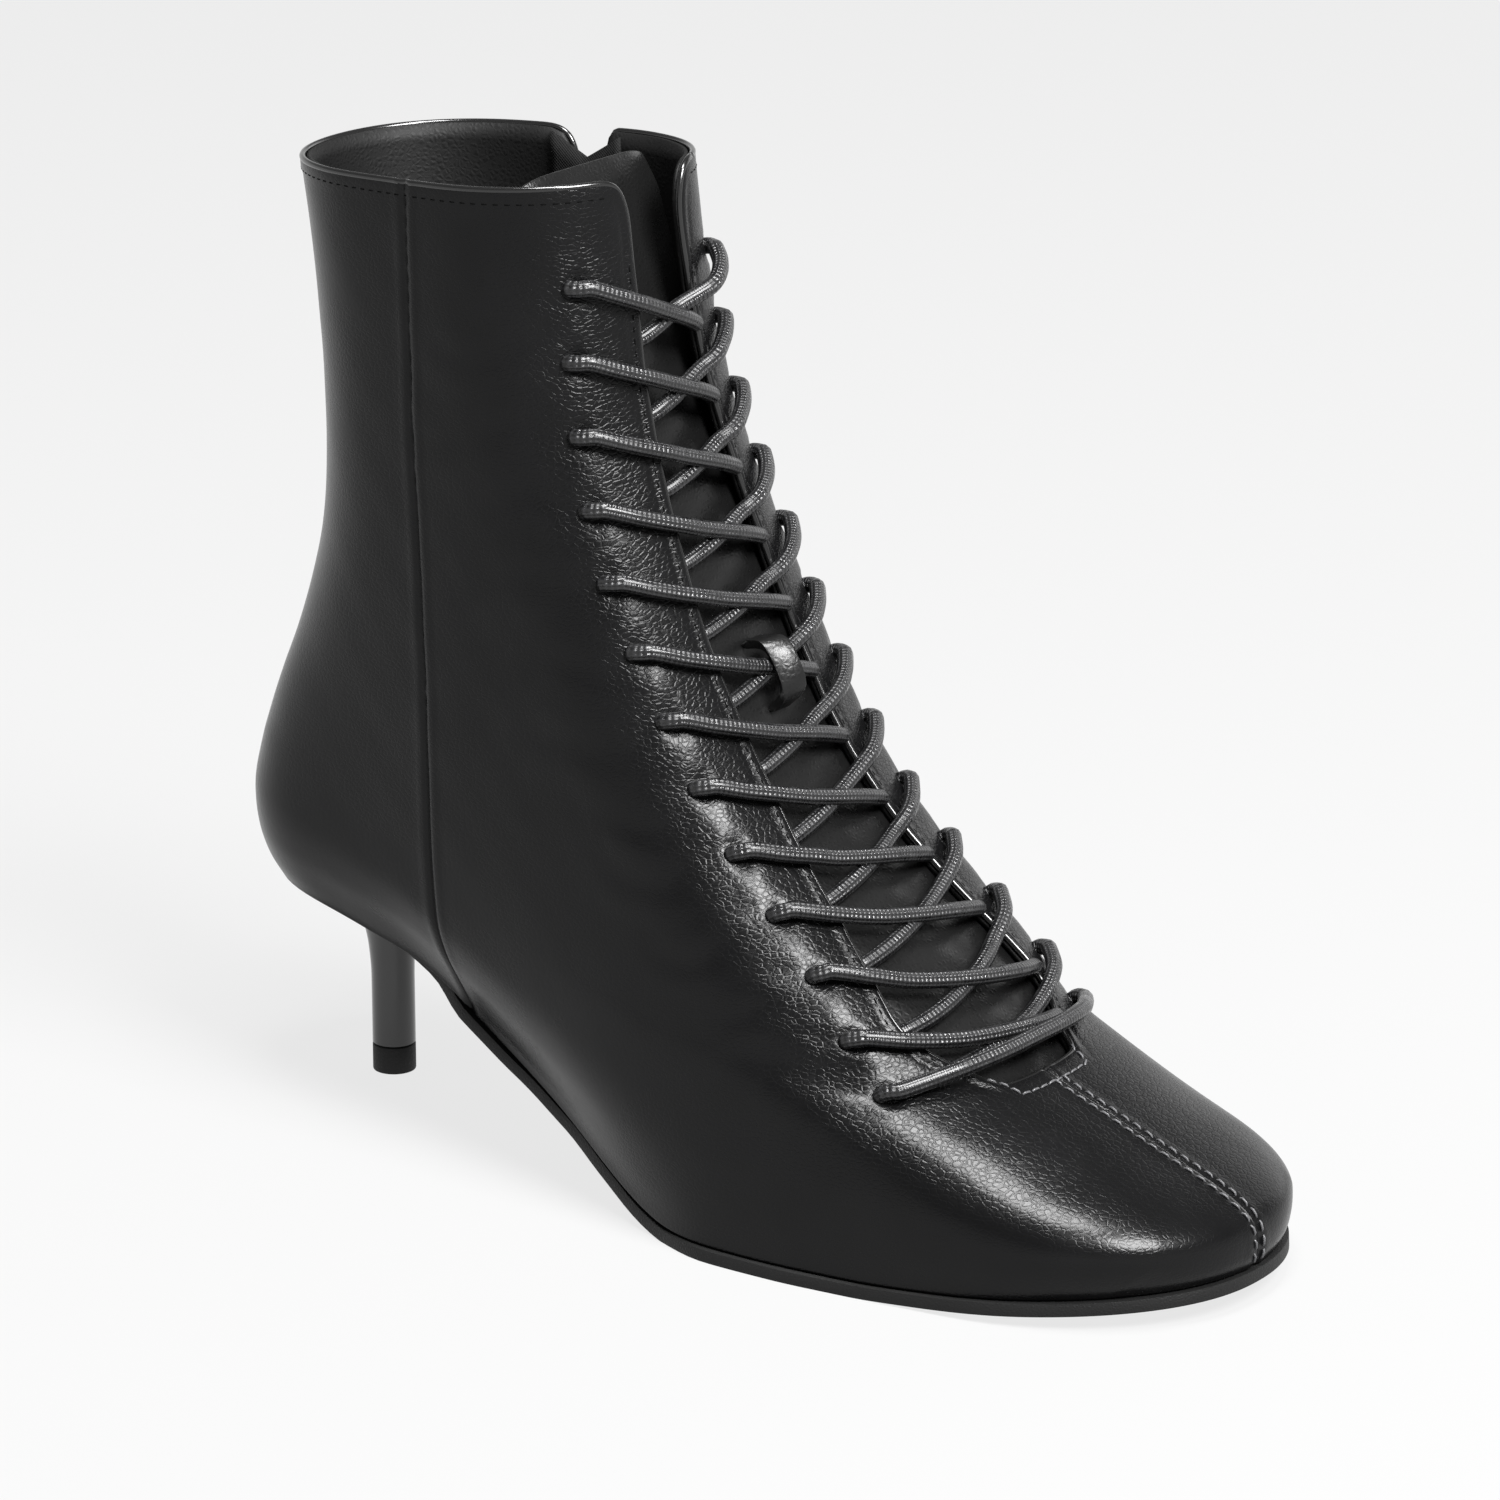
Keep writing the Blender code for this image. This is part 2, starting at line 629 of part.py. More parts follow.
def build_keeper(surface, holes):
    """The small leather strap on the tongue that keeps crossing 6 in place."""
    row = 0.42 * holes[5] + 0.58 * holes[6]
    p, normal, up = frame_at(front_point, row, 0.0)
    across = np.cross(up, normal)
    floor = -TONGUE_CLEARANCE + GAP
    top = KEEPER_RISE
    profile = ((-0.50, floor), (-0.36, floor), (-0.27, 0.6 * top), (-0.16, top), (0.16, top),
               (0.27, 0.6 * top), (0.36, floor), (0.50, floor))
    grid = []
    for s in (-0.5, 0.0, 0.5):
        line = []
        for share, rise in profile:
            line.append(p + up * share * KEEPER_LENGTH + normal * rise
                        + across * s * KEEPER_WIDTH)
        grid.append(line)
    made = grid_mesh("tongue_loop", grid, surface)
    face_outward(made, p - normal * 0.02)
    solid = thicken(made, KEEPER_THICKNESS, 1.0)
    solid.use_even_offset = False
    return made


def side_strip(name, rows, half, offset, thickness, surface, across=2):
    """A strip along the zip's line, at an offset from the skin, thickened inward."""
    grid = []
    for row in rows:
        line = [off_side(row, 1, a, offset) for a in np.linspace(-half, half, across + 1)]
        grid.append(line)
    made = grid_mesh(name, grid, surface)
    face_outward(made, (0.0, 0.0, INSIDE_POINT[2]))
    thicken(made, thickness)
    return made


def build_zip(cloth, coil):
    rows = np.linspace(SLOT_BOTTOM_ROW - 0.6, ZIP_TOP_ROW, 20)
    side_strip("zip_tape", rows, TAPE_HALF, -(WALL + GAP), TAPE_THICKNESS, cloth, 4)
    rows = np.linspace(SLOT_BOTTOM_ROW + 0.15, ZIP_TOP_ROW, 20)
    side_strip("zip_coil", rows, COIL_HALF, -0.5 * GAP, COIL_THICKNESS, coil)


def box(name, size, surface):
    bpy.ops.mesh.primitive_cube_add(size=1.0, location=(0, 0, 0))
    made = bpy.context.object
    made.name = name
    made.data.transform(Matrix.Diagonal((*size, 1.0)))
    made.data.materials.append(surface)
    return made


def join_by_union(base, others):
    for other in others:
        hide_cutter(other)
        union = base.modifiers.new("Join", "BOOLEAN")
        union.operation = "UNION"
        union.object = other


def build_slider(metal):
    """Slider with its bail, and the pull that hangs in the bail, on its hinge axis."""
    p, normal, up = frame_at(side_point, SLIDER_ROW, 0.0, 1)
    across = np.cross(up, normal)
    hinge_rise = 2 * GAP + SLIDER_SIZE[1] + 1.3 * PULL_WIRE + HINGE_PLAY
    turn = Matrix((across, normal, up)).transposed().to_4x4()
    mount = bpy.data.objects.new("slider_place", None)
    bpy.context.scene.collection.objects.link(mount)
    mount.matrix_world = Matrix.Translation(p) @ turn
    pivot = bpy.data.objects.new("pull_axis", None)
    bpy.context.scene.collection.objects.link(pivot)
    pivot.matrix_world = Matrix.Translation(Vector(p + normal * hinge_rise)) @ turn

    body = box("zip_slider", SLIDER_SIZE, metal)
    body.data.transform(Matrix.Translation((0, GAP + SLIDER_SIZE[1] / 2, 0)))
    base = SLIDER_SIZE[1]
    posts = []
    for end in (-1, 1):
        post = box(f"bail_post_{end}", (BAIL_WIDTH, BAIL_RISE + GAP, BAIL_WIRE), metal)
        post.data.transform(Matrix.Translation(
            (0, base + (BAIL_RISE + GAP) / 2, end * BAIL_HALF)))
        posts.append(post)
    arch = box("bail_arch", (BAIL_WIDTH, BAIL_WIRE, 2 * BAIL_HALF + BAIL_WIRE), metal)
    arch.data.transform(Matrix.Translation((0, base + BAIL_RISE + BAIL_WIRE / 2, 0)))
    join_by_union(body, posts + [arch])

    tab = box("zip_pull_tab", PULL_TAB, metal)
    tab.data.transform(Matrix.Translation((0, 0, -PULL_LOOP - PULL_TAB[2] / 2 + PULL_WIRE)))
    wires = []
    for end in (-1, 1):
        arm = box(f"pull_arm_{end}", (2 * PULL_WIRE, 2 * PULL_WIRE, PULL_LOOP + 2 * PULL_WIRE),
                  metal)
        arm.data.transform(Matrix.Translation((end * PULL_ARM, 0, -PULL_LOOP / 2)))
        wires.append(arm)
    for place in (0.0, -PULL_LOOP):
        bar = box(f"pull_bar_{len(wires)}",
                  (2 * PULL_ARM + PULL_WIRE, 1.8 * PULL_WIRE, 1.8 * PULL_WIRE), metal)
        bar.data.transform(Matrix.Translation((0, 0, place)))
        wires.append(bar)
    join_by_union(tab, wires)

    for part in [body] + posts + [arch]:
        part.parent = mount
    for part in [tab] + wires:
        part.parent = pivot
    axis = np.cross(normal, up)
    print("pull hinge", [round(float(v), 6) for v in p + normal * hinge_rise],
          "axis", [round(float(v), 6) for v in axis])


def main():
    for old in list(bpy.data.objects):
        bpy.data.objects.remove(old, do_unlink=True)
    leather = material("leather", (0.012, 0.012, 0.013), 0.38)
    tongue_leather = material("tongue_leather", (0.016, 0.016, 0.017), 0.55)
    rubber = material("rubber", (0.010, 0.010, 0.010), 0.5)
    heel_gloss = material("heel_gloss", (0.008, 0.008, 0.009), 0.2)
    lining = material("lining", (0.020, 0.020, 0.021), 0.6)
    cord = material("cord", (0.020, 0.020, 0.021), 0.45)
    cloth = material("zip_cloth", (0.010, 0.010, 0.010), 0.8)
    coil = material("zip_coil", (0.012, 0.012, 0.012), 0.35)
    metal = material("zip_metal", (0.015, 0.015, 0.015), 0.3, 0.6)

    build_upper(leather)
    build_outsole(rubber)
    build_insole(lining)
    build_heel(heel_gloss)
    build_heel_tip(rubber)
    build_tongue(tongue_leather)
    holes = build_laces(cord)
    build_keeper(leather, holes)
    build_zip(cloth, coil)
    build_slider(metal)


main()
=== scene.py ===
# %% [markdown]
# # A lace up ankle boot on a kitten heel
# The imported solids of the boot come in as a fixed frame. Each soft piece is then made again with
# the detail of a real boot, and stands for the solid that it replaces. Everything is in metres,
# with the toe along +X, the inner side of the foot along +Y and the origin under the heel.

# %% Load the frame
import functools
import math

import bmesh
import bpy
import numpy as np
from mathutils import Matrix, Vector
from mathutils.bvhtree import BVHTree
from mathutils.kdtree import KDTree


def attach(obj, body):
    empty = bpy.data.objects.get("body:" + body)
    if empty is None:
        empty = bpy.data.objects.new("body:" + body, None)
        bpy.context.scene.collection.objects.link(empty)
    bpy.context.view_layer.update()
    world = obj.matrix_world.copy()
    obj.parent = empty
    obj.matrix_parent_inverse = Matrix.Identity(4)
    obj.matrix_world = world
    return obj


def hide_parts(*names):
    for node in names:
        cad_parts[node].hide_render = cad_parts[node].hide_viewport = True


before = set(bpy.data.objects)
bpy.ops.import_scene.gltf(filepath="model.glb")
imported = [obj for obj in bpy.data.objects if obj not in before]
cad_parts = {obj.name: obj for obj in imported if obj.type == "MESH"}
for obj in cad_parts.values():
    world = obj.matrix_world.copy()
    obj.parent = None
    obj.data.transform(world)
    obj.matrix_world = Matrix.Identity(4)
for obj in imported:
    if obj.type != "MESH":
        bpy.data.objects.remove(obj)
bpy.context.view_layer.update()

bpy.ops.object.select_all(action="DESELECT")
print("solids in the frame:", len(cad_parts))

# %% [markdown]
# The camera comes first, so that every later choice can be judged from it. It stands where the
# photographer stood and turns to this one boot. A longer lens fills the frame without moving it,
# which keeps the angle and the perspective as they were.

# %% Camera
CAMERA_PLACE = Vector((0.84071, -1.01417, 0.49781))
CAMERA_AIM = Vector((0.1000, -0.0080, 0.0925))
bpy.ops.object.camera_add(location=CAMERA_PLACE)
camera = bpy.context.object
camera.rotation_euler = (CAMERA_AIM - CAMERA_PLACE).to_track_quat("-Z", "Y").to_euler()
camera.data.lens = 158
camera.data.sensor_width = 36
bpy.context.scene.camera = camera
print("camera distance:", round((CAMERA_AIM - CAMERA_PLACE).length, 3))

# %% [markdown]
# A boot is pulled over a last, a solid foot shape. Its skin is described here as it is in the
# source: rows run up the boot from the sole to the collar, and each row is a closed loop with a
# half width that changes along the foot. Short tables hold those sizes as shares of the boot's
# length, height and ball width.

# %% Sizes of the last
LENGTH = 0.247
HEIGHT = 0.205
HEEL_HEIGHT = 0.0446
BALL_WIDTH = 0.093
WALL = 0.0020
GAP = 0.0003
SOLE_THICKNESS = 0.0026
SOLE_STEP = 0.0010
INSOLE_THICKNESS = 0.0022
HEEL_COVER_END = 0.026
SOLE_EDGE_START = 0.040
TIP_RADIUS = 0.0046
TIP_HEIGHT = 0.0060
COLLAR_CORNER = 0.0070
THROAT_ROW = 8
TOP_ROW = 21
FINE_STEPS = 160
TANGENT_STEP = 0.0008
TANGENT_ROWS = 0.1
LACE_ROWS = 13
LACE_TOP_HEIGHT = HEIGHT - 0.0200
LACE_PITCH = 0.072 * HEIGHT

SOLE_LINE = {
    "along": (-0.110, 0.000, 0.047, 0.095, 0.147, 0.178, 0.209, 0.239, 0.270, 0.302, 0.330,
              0.353, 0.378, 0.400, 0.425, 0.607, 0.670, 0.730, 0.790, 0.880),
    "rise": (1.045, 1.000, 0.940, 0.825, 0.652, 0.545, 0.448, 0.370, 0.292, 0.224, 0.164,
             0.115, 0.062, 0.025, 0.000, 0.000, 0.015, 0.040, 0.066, 0.100)}
FEATHER = {
    "along": (-0.10, 0.00, 0.15, 0.21, 0.27, 0.33, 0.40, 0.475, 0.535, 0.595, 0.705, 0.88),
    "lateral": (0.268, 0.272, 0.268, 0.280, 0.315, 0.380, 0.452, 0.507, 0.502, 0.484,
                0.442, 0.355),
    "medial": (0.268, 0.272, 0.225, 0.212, 0.235, 0.295, 0.380, 0.450, 0.475, 0.472,
               0.442, 0.375)}
ROWS = {
    "back": (-0.094, -0.100, -0.106, -0.109, -0.111, -0.112, -0.1115, -0.1095, -0.106,
             -0.1035, -0.100, -0.095, -0.088, -0.0765, -0.061, -0.045, -0.032, -0.0285,
             -0.0305, -0.035, -0.0405, -0.048),
    "back_rise": (0.002, 0.014, 0.032, 0.052, 0.074, 0.098, 0.124, 0.146, 0.168, 0.1835,
                  0.203, 0.225, 0.256, 0.3005, 0.357, 0.433, 0.5205, 0.6155, 0.710, 0.805,
                  0.893, 0.975),
    "front": (0.875, 0.879, 0.8785, 0.8735, 0.854, 0.826, 0.787, 0.733, 0.673, 0.652, 0.6355,
              0.6135, 0.581, 0.5365, 0.484, 0.432, 0.3885, 0.3543, 0.326, 0.3057, 0.2955,
              0.2875),
    "front_rise": (0.0, 0.014, 0.029, 0.0465, 0.0645, 0.0795, 0.097, 0.1225, 0.150, 0.165,
                   0.183, 0.206, 0.241, 0.289, 0.3525, 0.4385, 0.5345, 0.636, 0.732, 0.8225,
                   0.914, 1.000),
    "half_gap": (0.0, 0.0, 0.0, 0.0, 0.0, 0.0, 0.0, 0.0, 0.140, 0.178, 0.228, 0.252, 0.231,
                 0.199, 0.169, 0.148, 0.150, 0.1365, 0.118, 0.102, 0.0905, 0.087),
    "follow": (1.0, 0.95, 0.90, 0.82, 0.74, 0.66, 0.58, 0.50, 0.42, 0.38, 0.34, 0.30, 0.26,
               0.20, 0.15, 0.10, 0.05, 0.0, 0.0, 0.0, 0.0, 0.0)}
BODY = {
    "row": (0.0, 2.0, 4.0, 6.0, 8.0, 11.0, 14.0, 16.0, 18.0, 21.0),
    "blend": (0.0, 0.45, 0.85, 1.0, 1.0, 1.0, 1.0, 1.0, 1.0, 1.0),
    "heel": (0.275, 0.304, 0.314, 0.318, 0.315, 0.310, 0.298, 0.285, 0.283, 0.300),
    "waist": (0.270, 0.330, 0.362, 0.376, 0.382, 0.384, 0.382, 0.370, 0.352, 0.338),
    "ball": (0.500, 0.505, 0.502, 0.490, 0.476, 0.452, 0.412, 0.395, 0.365, 0.340),
    "toe": (0.440, 0.450, 0.436, 0.414, 0.400, 0.400, 0.380, 0.360, 0.340, 0.330),
    "nose": (0.180, 0.172, 0.186, 0.204, 0.215, 0.184, 0.146, 0.138, 0.138, 0.138),
    "square": (2.2, 2.25, 2.4, 2.5, 2.5, 2.7, 2.6, 2.7, 2.35, 2.4)}
BODY_PLACES = (0.0, 0.20, 0.48, 0.75)
BACK_ROUND = 0.112
BACK_SQUARE = 2.15
SIDE_SEAM = {
    "row": (0.0, 4.0, 8.0, 14.0, 16.0, 18.0, 21.0),
    "along": (0.168, 0.161, 0.157, 0.154, 0.146, 0.134, 0.128)}
HOLES = {
    "row": (8.0, 11.0, 13.0, 15.0, 16.5, 18.0, 20.0),
    "half": (0.352, 0.343, 0.305, 0.297, 0.300, 0.265, 0.222)}

# %% [markdown]
# These functions turn a row and a length round it into a point of the skin. Seams, holes, laces
# and stitches are all placed with them, so they stay on the boot whatever its sizes are.

# %% The skin of the last


def smooth(xs, ys, x):
    """Value at x of a smooth curve through the table's points, with no overshoot."""
    xs = np.asarray(xs, float)
    ys = np.asarray(ys, float)
    x = np.clip(np.asarray(x, float), xs[0], xs[-1])
    steps = np.diff(xs)
    slopes = np.diff(ys) / steps
    tangents = np.zeros(len(xs))
    same = slopes[:-1] * slopes[1:] > 0
    weight = steps[:-1] + steps[1:]
    before = (weight + steps[1:])[same]
    after = (weight + steps[:-1])[same]
    tangents[1:-1][same] = (before + after) / (before / slopes[:-1][same] + after / slopes[1:][same])
    tangents[0] = slopes[0]
    tangents[-1] = slopes[-1]
    i = np.clip(np.searchsorted(xs, x, side="right") - 1, 0, len(xs) - 2)
    h = steps[i]
    t = (x - xs[i]) / h
    return ((2 * t**3 - 3 * t**2 + 1) * ys[i] + (t**3 - 2 * t**2 + t) * h * tangents[i]
            + (3 * t**2 - 2 * t**3) * ys[i + 1] + (t**3 - t**2) * h * tangents[i + 1])


def ease(low, high, x):
    """0 below low, 1 above high, with a soft change between."""
    t = np.clip((np.asarray(x, float) - low) / (high - low), 0.0, 1.0)
    return t * t * (3 - 2 * t)


def sole_bottom(x):
    return HEEL_HEIGHT * smooth(SOLE_LINE["along"], SOLE_LINE["rise"], np.asarray(x) / LENGTH)


def sole_rise(x, depth):
    """Upright height of a layer of the given depth on the sloping sole."""
    step = 0.004 * LENGTH
    slope = (sole_bottom(x + step) - sole_bottom(x - step)) / (2 * step)
    return depth * np.sqrt(1 + slope**2)


def feather_lift(x):
    lift = sole_rise(x, SOLE_THICKNESS + GAP)
    return lift * ease(0.6 * HEEL_COVER_END, HEEL_COVER_END, x)


def rounded(distance, reach, power):
    """Share of the full width, a distance from the end, of an end that closes over reach."""
    u = np.clip(1.0 - distance / reach, 0.0, 1.0)
    return (1.0 - u**power) ** (1.0 / power)


def row_value(column, row):
    return float(smooth(range(TOP_ROW + 1), ROWS[column], row))


def body_value(column, row):
    return float(smooth(BODY["row"], BODY[column], row))


def row_end(row, end):
    """Place along and height of a row's back or front end."""
    first = LENGTH * ROWS[end][0]
    base = float(sole_bottom(first) + feather_lift(first))
    return LENGTH * row_value(end, row), base + (HEIGHT - base) * row_value(end + "_rise", row)


def half_width(row, side, x):
    name = "medial" if side > 0 else "lateral"
    feather = smooth(FEATHER["along"], FEATHER[name], x / LENGTH)
    places = [body_value(place, row) for place in ("heel", "waist", "ball", "toe")]
    body = smooth(BODY_PLACES, places, x / LENGTH)
    blend = body_value("blend", row)
    return BALL_WIDTH * (feather * (1 - blend) + body * blend)


def running_lengths(line):
    """Length along a line from its first point to each of its points."""
    return np.concatenate([[0.0], np.cumsum(np.linalg.norm(np.diff(line, axis=0), axis=1))])


@functools.lru_cache(maxsize=4000)
def fine_loop(row, side):
    """One side of a closed row of the skin, back centre to front centre, with its lengths."""
    back, back_z = row_end(row, "back")
    front, front_z = row_end(row, "front")
    t = (1 - np.cos(np.linspace(0, math.pi, FINE_STEPS))) / 2
    x = back + (front - back) * t
    width = half_width(row, side, x)
    width = width * rounded(x - back, LENGTH * BACK_ROUND, BACK_SQUARE)
    width = width * rounded(front - x, LENGTH * body_value("nose", row), body_value("square", row))
    floor = sole_bottom(x) + feather_lift(x)
    drop = floor - (floor[0] + (floor[-1] - floor[0]) * t)
    z = back_z + (front_z - back_z) * t + row_value("follow", row) * drop
    line = np.stack([x, side * width, z], axis=1)
    return line, running_lengths(line)


def at_length(line, lengths, s):
    return np.stack([np.interp(s, lengths, line[:, k]) for k in range(3)], axis=-1)


def front_point(row, arc):
    """A point of the skin, given by its length round the row from the front centre."""
    line, lengths = fine_loop(round(row, 4), 1 if arc >= 0 else -1)
    return at_length(line, lengths, lengths[-1] - abs(arc))


def seam_length(row, side):
    line, lengths = fine_loop(round(row, 4), side)
    place = LENGTH * float(smooth(SIDE_SEAM["row"], SIDE_SEAM["along"], row))
    return float(np.interp(place, line[:, 0], lengths))


def side_point(row, side, arc):
    """A point of the skin, given by its length forward from the side seam."""
    line, lengths = fine_loop(round(row, 4), side)
    return at_length(line, lengths, seam_length(row, side) + arc)


def frame_at(point, row, arc, *rest):
    """A skin point with its outward normal and its tangent up the boot."""
    p = point(row, *rest, arc)
    across = point(row, *rest, arc + TANGENT_STEP) - point(row, *rest, arc - TANGENT_STEP)
    high = min(row + TANGENT_ROWS, TOP_ROW)
    low = max(row - TANGENT_ROWS, 0.0)
    up = point(high, *rest, arc) - point(low, *rest, arc)
    normal = np.cross(across, up)
    normal = normal / np.linalg.norm(normal)
    inside = np.array([0.15 * LENGTH, 0.0, 0.5 * p[2]])
    if np.dot(normal, p - inside) < 0:
        normal = -normal
    up = up - normal * np.dot(up, normal)
    return p, normal, up / np.linalg.norm(up)


def off_front(row, arc, offset):
    p, normal, _ = frame_at(front_point, row, arc)
    return p + normal * offset


def off_side(row, side, arc, offset):
    p, normal, _ = frame_at(side_point, row, arc, side)
    return p + normal * offset


def arc_at_width(row, side, width):
    """Length round a row from the front centre to where the skin reaches a half width."""
    line, lengths = fine_loop(round(row, 4), side)
    arcs = (lengths[-1] - lengths)[::-1]
    widths = np.abs(line[::-1, 1])
    widest = int(np.argmax(widths)) + 1
    return float(np.interp(width, widths[:widest], arcs[:widest]))


def facing_arc(row, side):
    return arc_at_width(row, side, BALL_WIDTH * row_value("half_gap", row))


def hole_arc(row, side):
    return arc_at_width(row, side, BALL_WIDTH * float(smooth(HOLES["row"], HOLES["half"], row)))


def lace_rows():
    """Rows of the skin at the lace holes, evenly spaced down their line from the top one."""
    rows = np.linspace(TOP_ROW, THROAT_ROW, FINE_STEPS)
    line = np.array([front_point(r, -hole_arc(r, -1)) for r in rows])
    lengths = running_lengths(line)
    start = float(np.interp(-LACE_TOP_HEIGHT, -line[:, 2], lengths))
    return np.interp(start + LACE_PITCH * np.arange(LACE_ROWS), lengths, rows)


hole_rows = lace_rows()
print("rows of the lace holes:", [round(float(r), 2) for r in hole_rows])

# %% [markdown]
# A few small helpers do what a hand does again and again: pick one piece, apply its modifiers,
# put a grid onto a surface, run a tube along a path, or lay copies of one small shape.

# %% Helpers for pieces


def only(piece):
    bpy.ops.object.select_all(action="DESELECT")
    piece.select_set(True)
    bpy.context.view_layer.objects.active = piece


def modify(piece, kind, **settings):
    """Add one modifier with its settings and apply it at once."""
    modifier = piece.modifiers.new(kind.title(), kind)
    for name, value in settings.items():
        setattr(modifier, name, value)
    only(piece)
    bpy.ops.object.modifier_apply(modifier=modifier.name)


def smooth_faces(piece, degrees):
    """Smooth shading over every edge that turns by less than an angle."""
    only(piece)
    bpy.ops.object.shade_smooth_by_angle(angle=math.radians(degrees))


def round_edges(piece, width, segments, degrees=60):
    """Round a piece's sharp edges, then smooth its faces."""
    modify(piece, "BEVEL", width=width, segments=segments, limit_method="ANGLE",
           angle_limit=math.radians(50))
    smooth_faces(piece, degrees)


def grid_piece(name, points):
    """A primitive grid whose vertices are moved onto rows of points, two directions by three."""
    points = np.asarray(points, float)
    rows, columns = points.shape[0] - 1, points.shape[1] - 1
    bpy.ops.mesh.primitive_grid_add(x_subdivisions=columns, y_subdivisions=rows, size=1.0)
    piece = bpy.context.object
    piece.name = name
    mesh = piece.data
    flat = read_points(mesh)
    u = np.rint((flat[:, 0] + 0.5) * columns).astype(int)
    v = np.rint((flat[:, 1] + 0.5) * rows).astype(int)
    write_points(mesh, points[v, u])
    return piece


def face_away(piece, inside):
    """Turn an open sheet over if its faces look at a place inside the boot."""
    mesh = piece.data
    inside = Vector(inside)
    total = sum(face.area * face.normal.dot(face.center - inside) for face in mesh.polygons)
    if total < 0:
        mesh.flip_normals()


def read_points(mesh, kind="co"):
    """One row of three numbers per vertex, its place or its normal."""
    flat = np.empty(len(mesh.vertices) * 3)
    mesh.vertices.foreach_get(kind, flat)
    return flat.reshape(-1, 3)


def read_normals(mesh):
    return read_points(mesh, "normal")


def write_points(mesh, points):
    mesh.vertices.foreach_set("co", np.ascontiguousarray(points).ravel())
    mesh.update()


def keep_value(mesh, name, values):
    """Store one number per vertex, which a material can read by its name."""
    layer = mesh.attributes.new(name, "FLOAT", "POINT")
    layer.data.foreach_set("value", np.ascontiguousarray(values, dtype=np.float32))


def reach_of(points, targets):
    """Distance from each point to the nearest of some target points."""
    tree = KDTree(len(targets))
    for i, target in enumerate(targets):
        tree.insert(target, i)
    tree.balance()
    return np.array([tree.find(p)[2] for p in points])


def along_path(path, spacing):
    """A smooth curve through a path's points, divided evenly, with its running lengths."""
    path = np.asarray(path, float)
    ends = np.vstack([2 * path[0] - path[1], path, 2 * path[-1] - path[-2]])
    fine = []
    for i in range(len(path) - 1):
        a, b, c, d = ends[i], ends[i + 1], ends[i + 2], ends[i + 3]
        for t in np.linspace(0, 1, 12, endpoint=False):
            fine.append(0.5 * ((2 * b) + (c - a) * t + (2 * a - 5 * b + 4 * c - d) * t**2
                               + (3 * b - a - 3 * c + d) * t**3))
    fine.append(path[-1])
    fine = np.array(fine)
    lengths = running_lengths(fine)
    count = max(2, int(round(lengths[-1] / spacing)) + 1)
    stops = np.linspace(0, lengths[-1], count)
    shares = np.interp(stops, lengths, np.linspace(0, len(path) - 1, len(fine)))
    return at_length(fine, lengths, stops), stops, shares


TUBE_MAP_RADII = 6.0


def tube(name, path, radius, sides, spacing, flat=None, lean=None):
    """A closed tube along a path, with a UV map: once round it, and six radii along it."""
    line, stops, shares = along_path(path, spacing)
    tangent = np.gradient(line, axis=0)
    tangent /= np.linalg.norm(tangent, axis=1)[:, None]
    side = np.cross(tangent[0], (0.3, 0.2, 1.0))
    turns = np.linspace(0, 2 * math.pi, sides + 1)
    bm = bmesh.new()
    uv = bm.loops.layers.uv.new("UVMap")
    rings = []
    for i, p in enumerate(line):
        side = side - tangent[i] * np.dot(side, tangent[i])
        side = side / np.linalg.norm(side)
        other = np.cross(tangent[i], side)
        ring = []
        for a in turns[:-1]:
            out = (side * math.cos(a) + other * math.sin(a)) * radius
            if flat is not None:
                press = np.interp(shares[i], np.arange(len(flat)), flat)
                away = np.array([np.interp(shares[i], np.arange(len(lean)), lean[:, k])
                                 for k in range(3)])
                away = away / np.linalg.norm(away)
                out = out - away * np.dot(out, away) * (1 - press)
            ring.append(bm.verts.new(p + out))
        rings.append(ring)
    for i in range(len(rings) - 1):
        for j in range(sides):
            k = (j + 1) % sides
            face = bm.faces.new((rings[i][j], rings[i][k], rings[i + 1][k], rings[i + 1][j]))
            corners = ((j, i), (j + 1, i), (j + 1, i + 1), (j, i + 1))
            for loop, (a, b) in zip(face.loops, corners):
                loop[uv].uv = (a / sides, stops[b] / radius / TUBE_MAP_RADII)
    bm.faces.new(rings[0])
    bm.faces.new(rings[-1][::-1])
    bmesh.ops.recalc_face_normals(bm, faces=bm.faces)
    mesh = bpy.data.meshes.new(name)
    bm.to_mesh(mesh)
    bm.free()
    piece = bpy.data.objects.new(name, mesh)
    bpy.context.scene.collection.objects.link(piece)
    mesh.shade_smooth()
    return piece


def lay_copies(name, shape, places):
    """One mesh of many copies of a small shape. A place is an origin and three directions."""
    mesh = shape.data
    base = read_points(mesh)
    faces = [tuple(face.vertices) for face in mesh.polygons]
    points = []
    joined = []
    for n, (origin, right, forward, up) in enumerate(places):
        axes = np.stack([right, forward, up])
        points.append(np.asarray(origin) + base @ axes)
        joined += [tuple(i + n * len(base) for i in face) for face in faces]
    made = bpy.data.meshes.new(name)
    made.from_pydata(np.concatenate(points).tolist(), [], joined)
    made.shade_smooth()
    piece = bpy.data.objects.new(name, made)
    bpy.context.scene.collection.objects.link(piece)
    bpy.data.objects.remove(shape, do_unlink=True)
    return piece


def settle(piece, material, body="boot", replaces=()):
    """Give a finished piece its material and the body that it rides on."""
    piece.data.materials.clear()
    piece.data.materials.append(material)
    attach(piece, body)
    if replaces:
        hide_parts(*replaces)
    print(piece.name, len(piece.data.polygons), "faces")


# %% [markdown]
# A material is a small graph of nodes. Python can write that graph as plain sums: this class
# holds one output of a node, and each operator adds the Math node that does the same.

# %% Sums on sockets


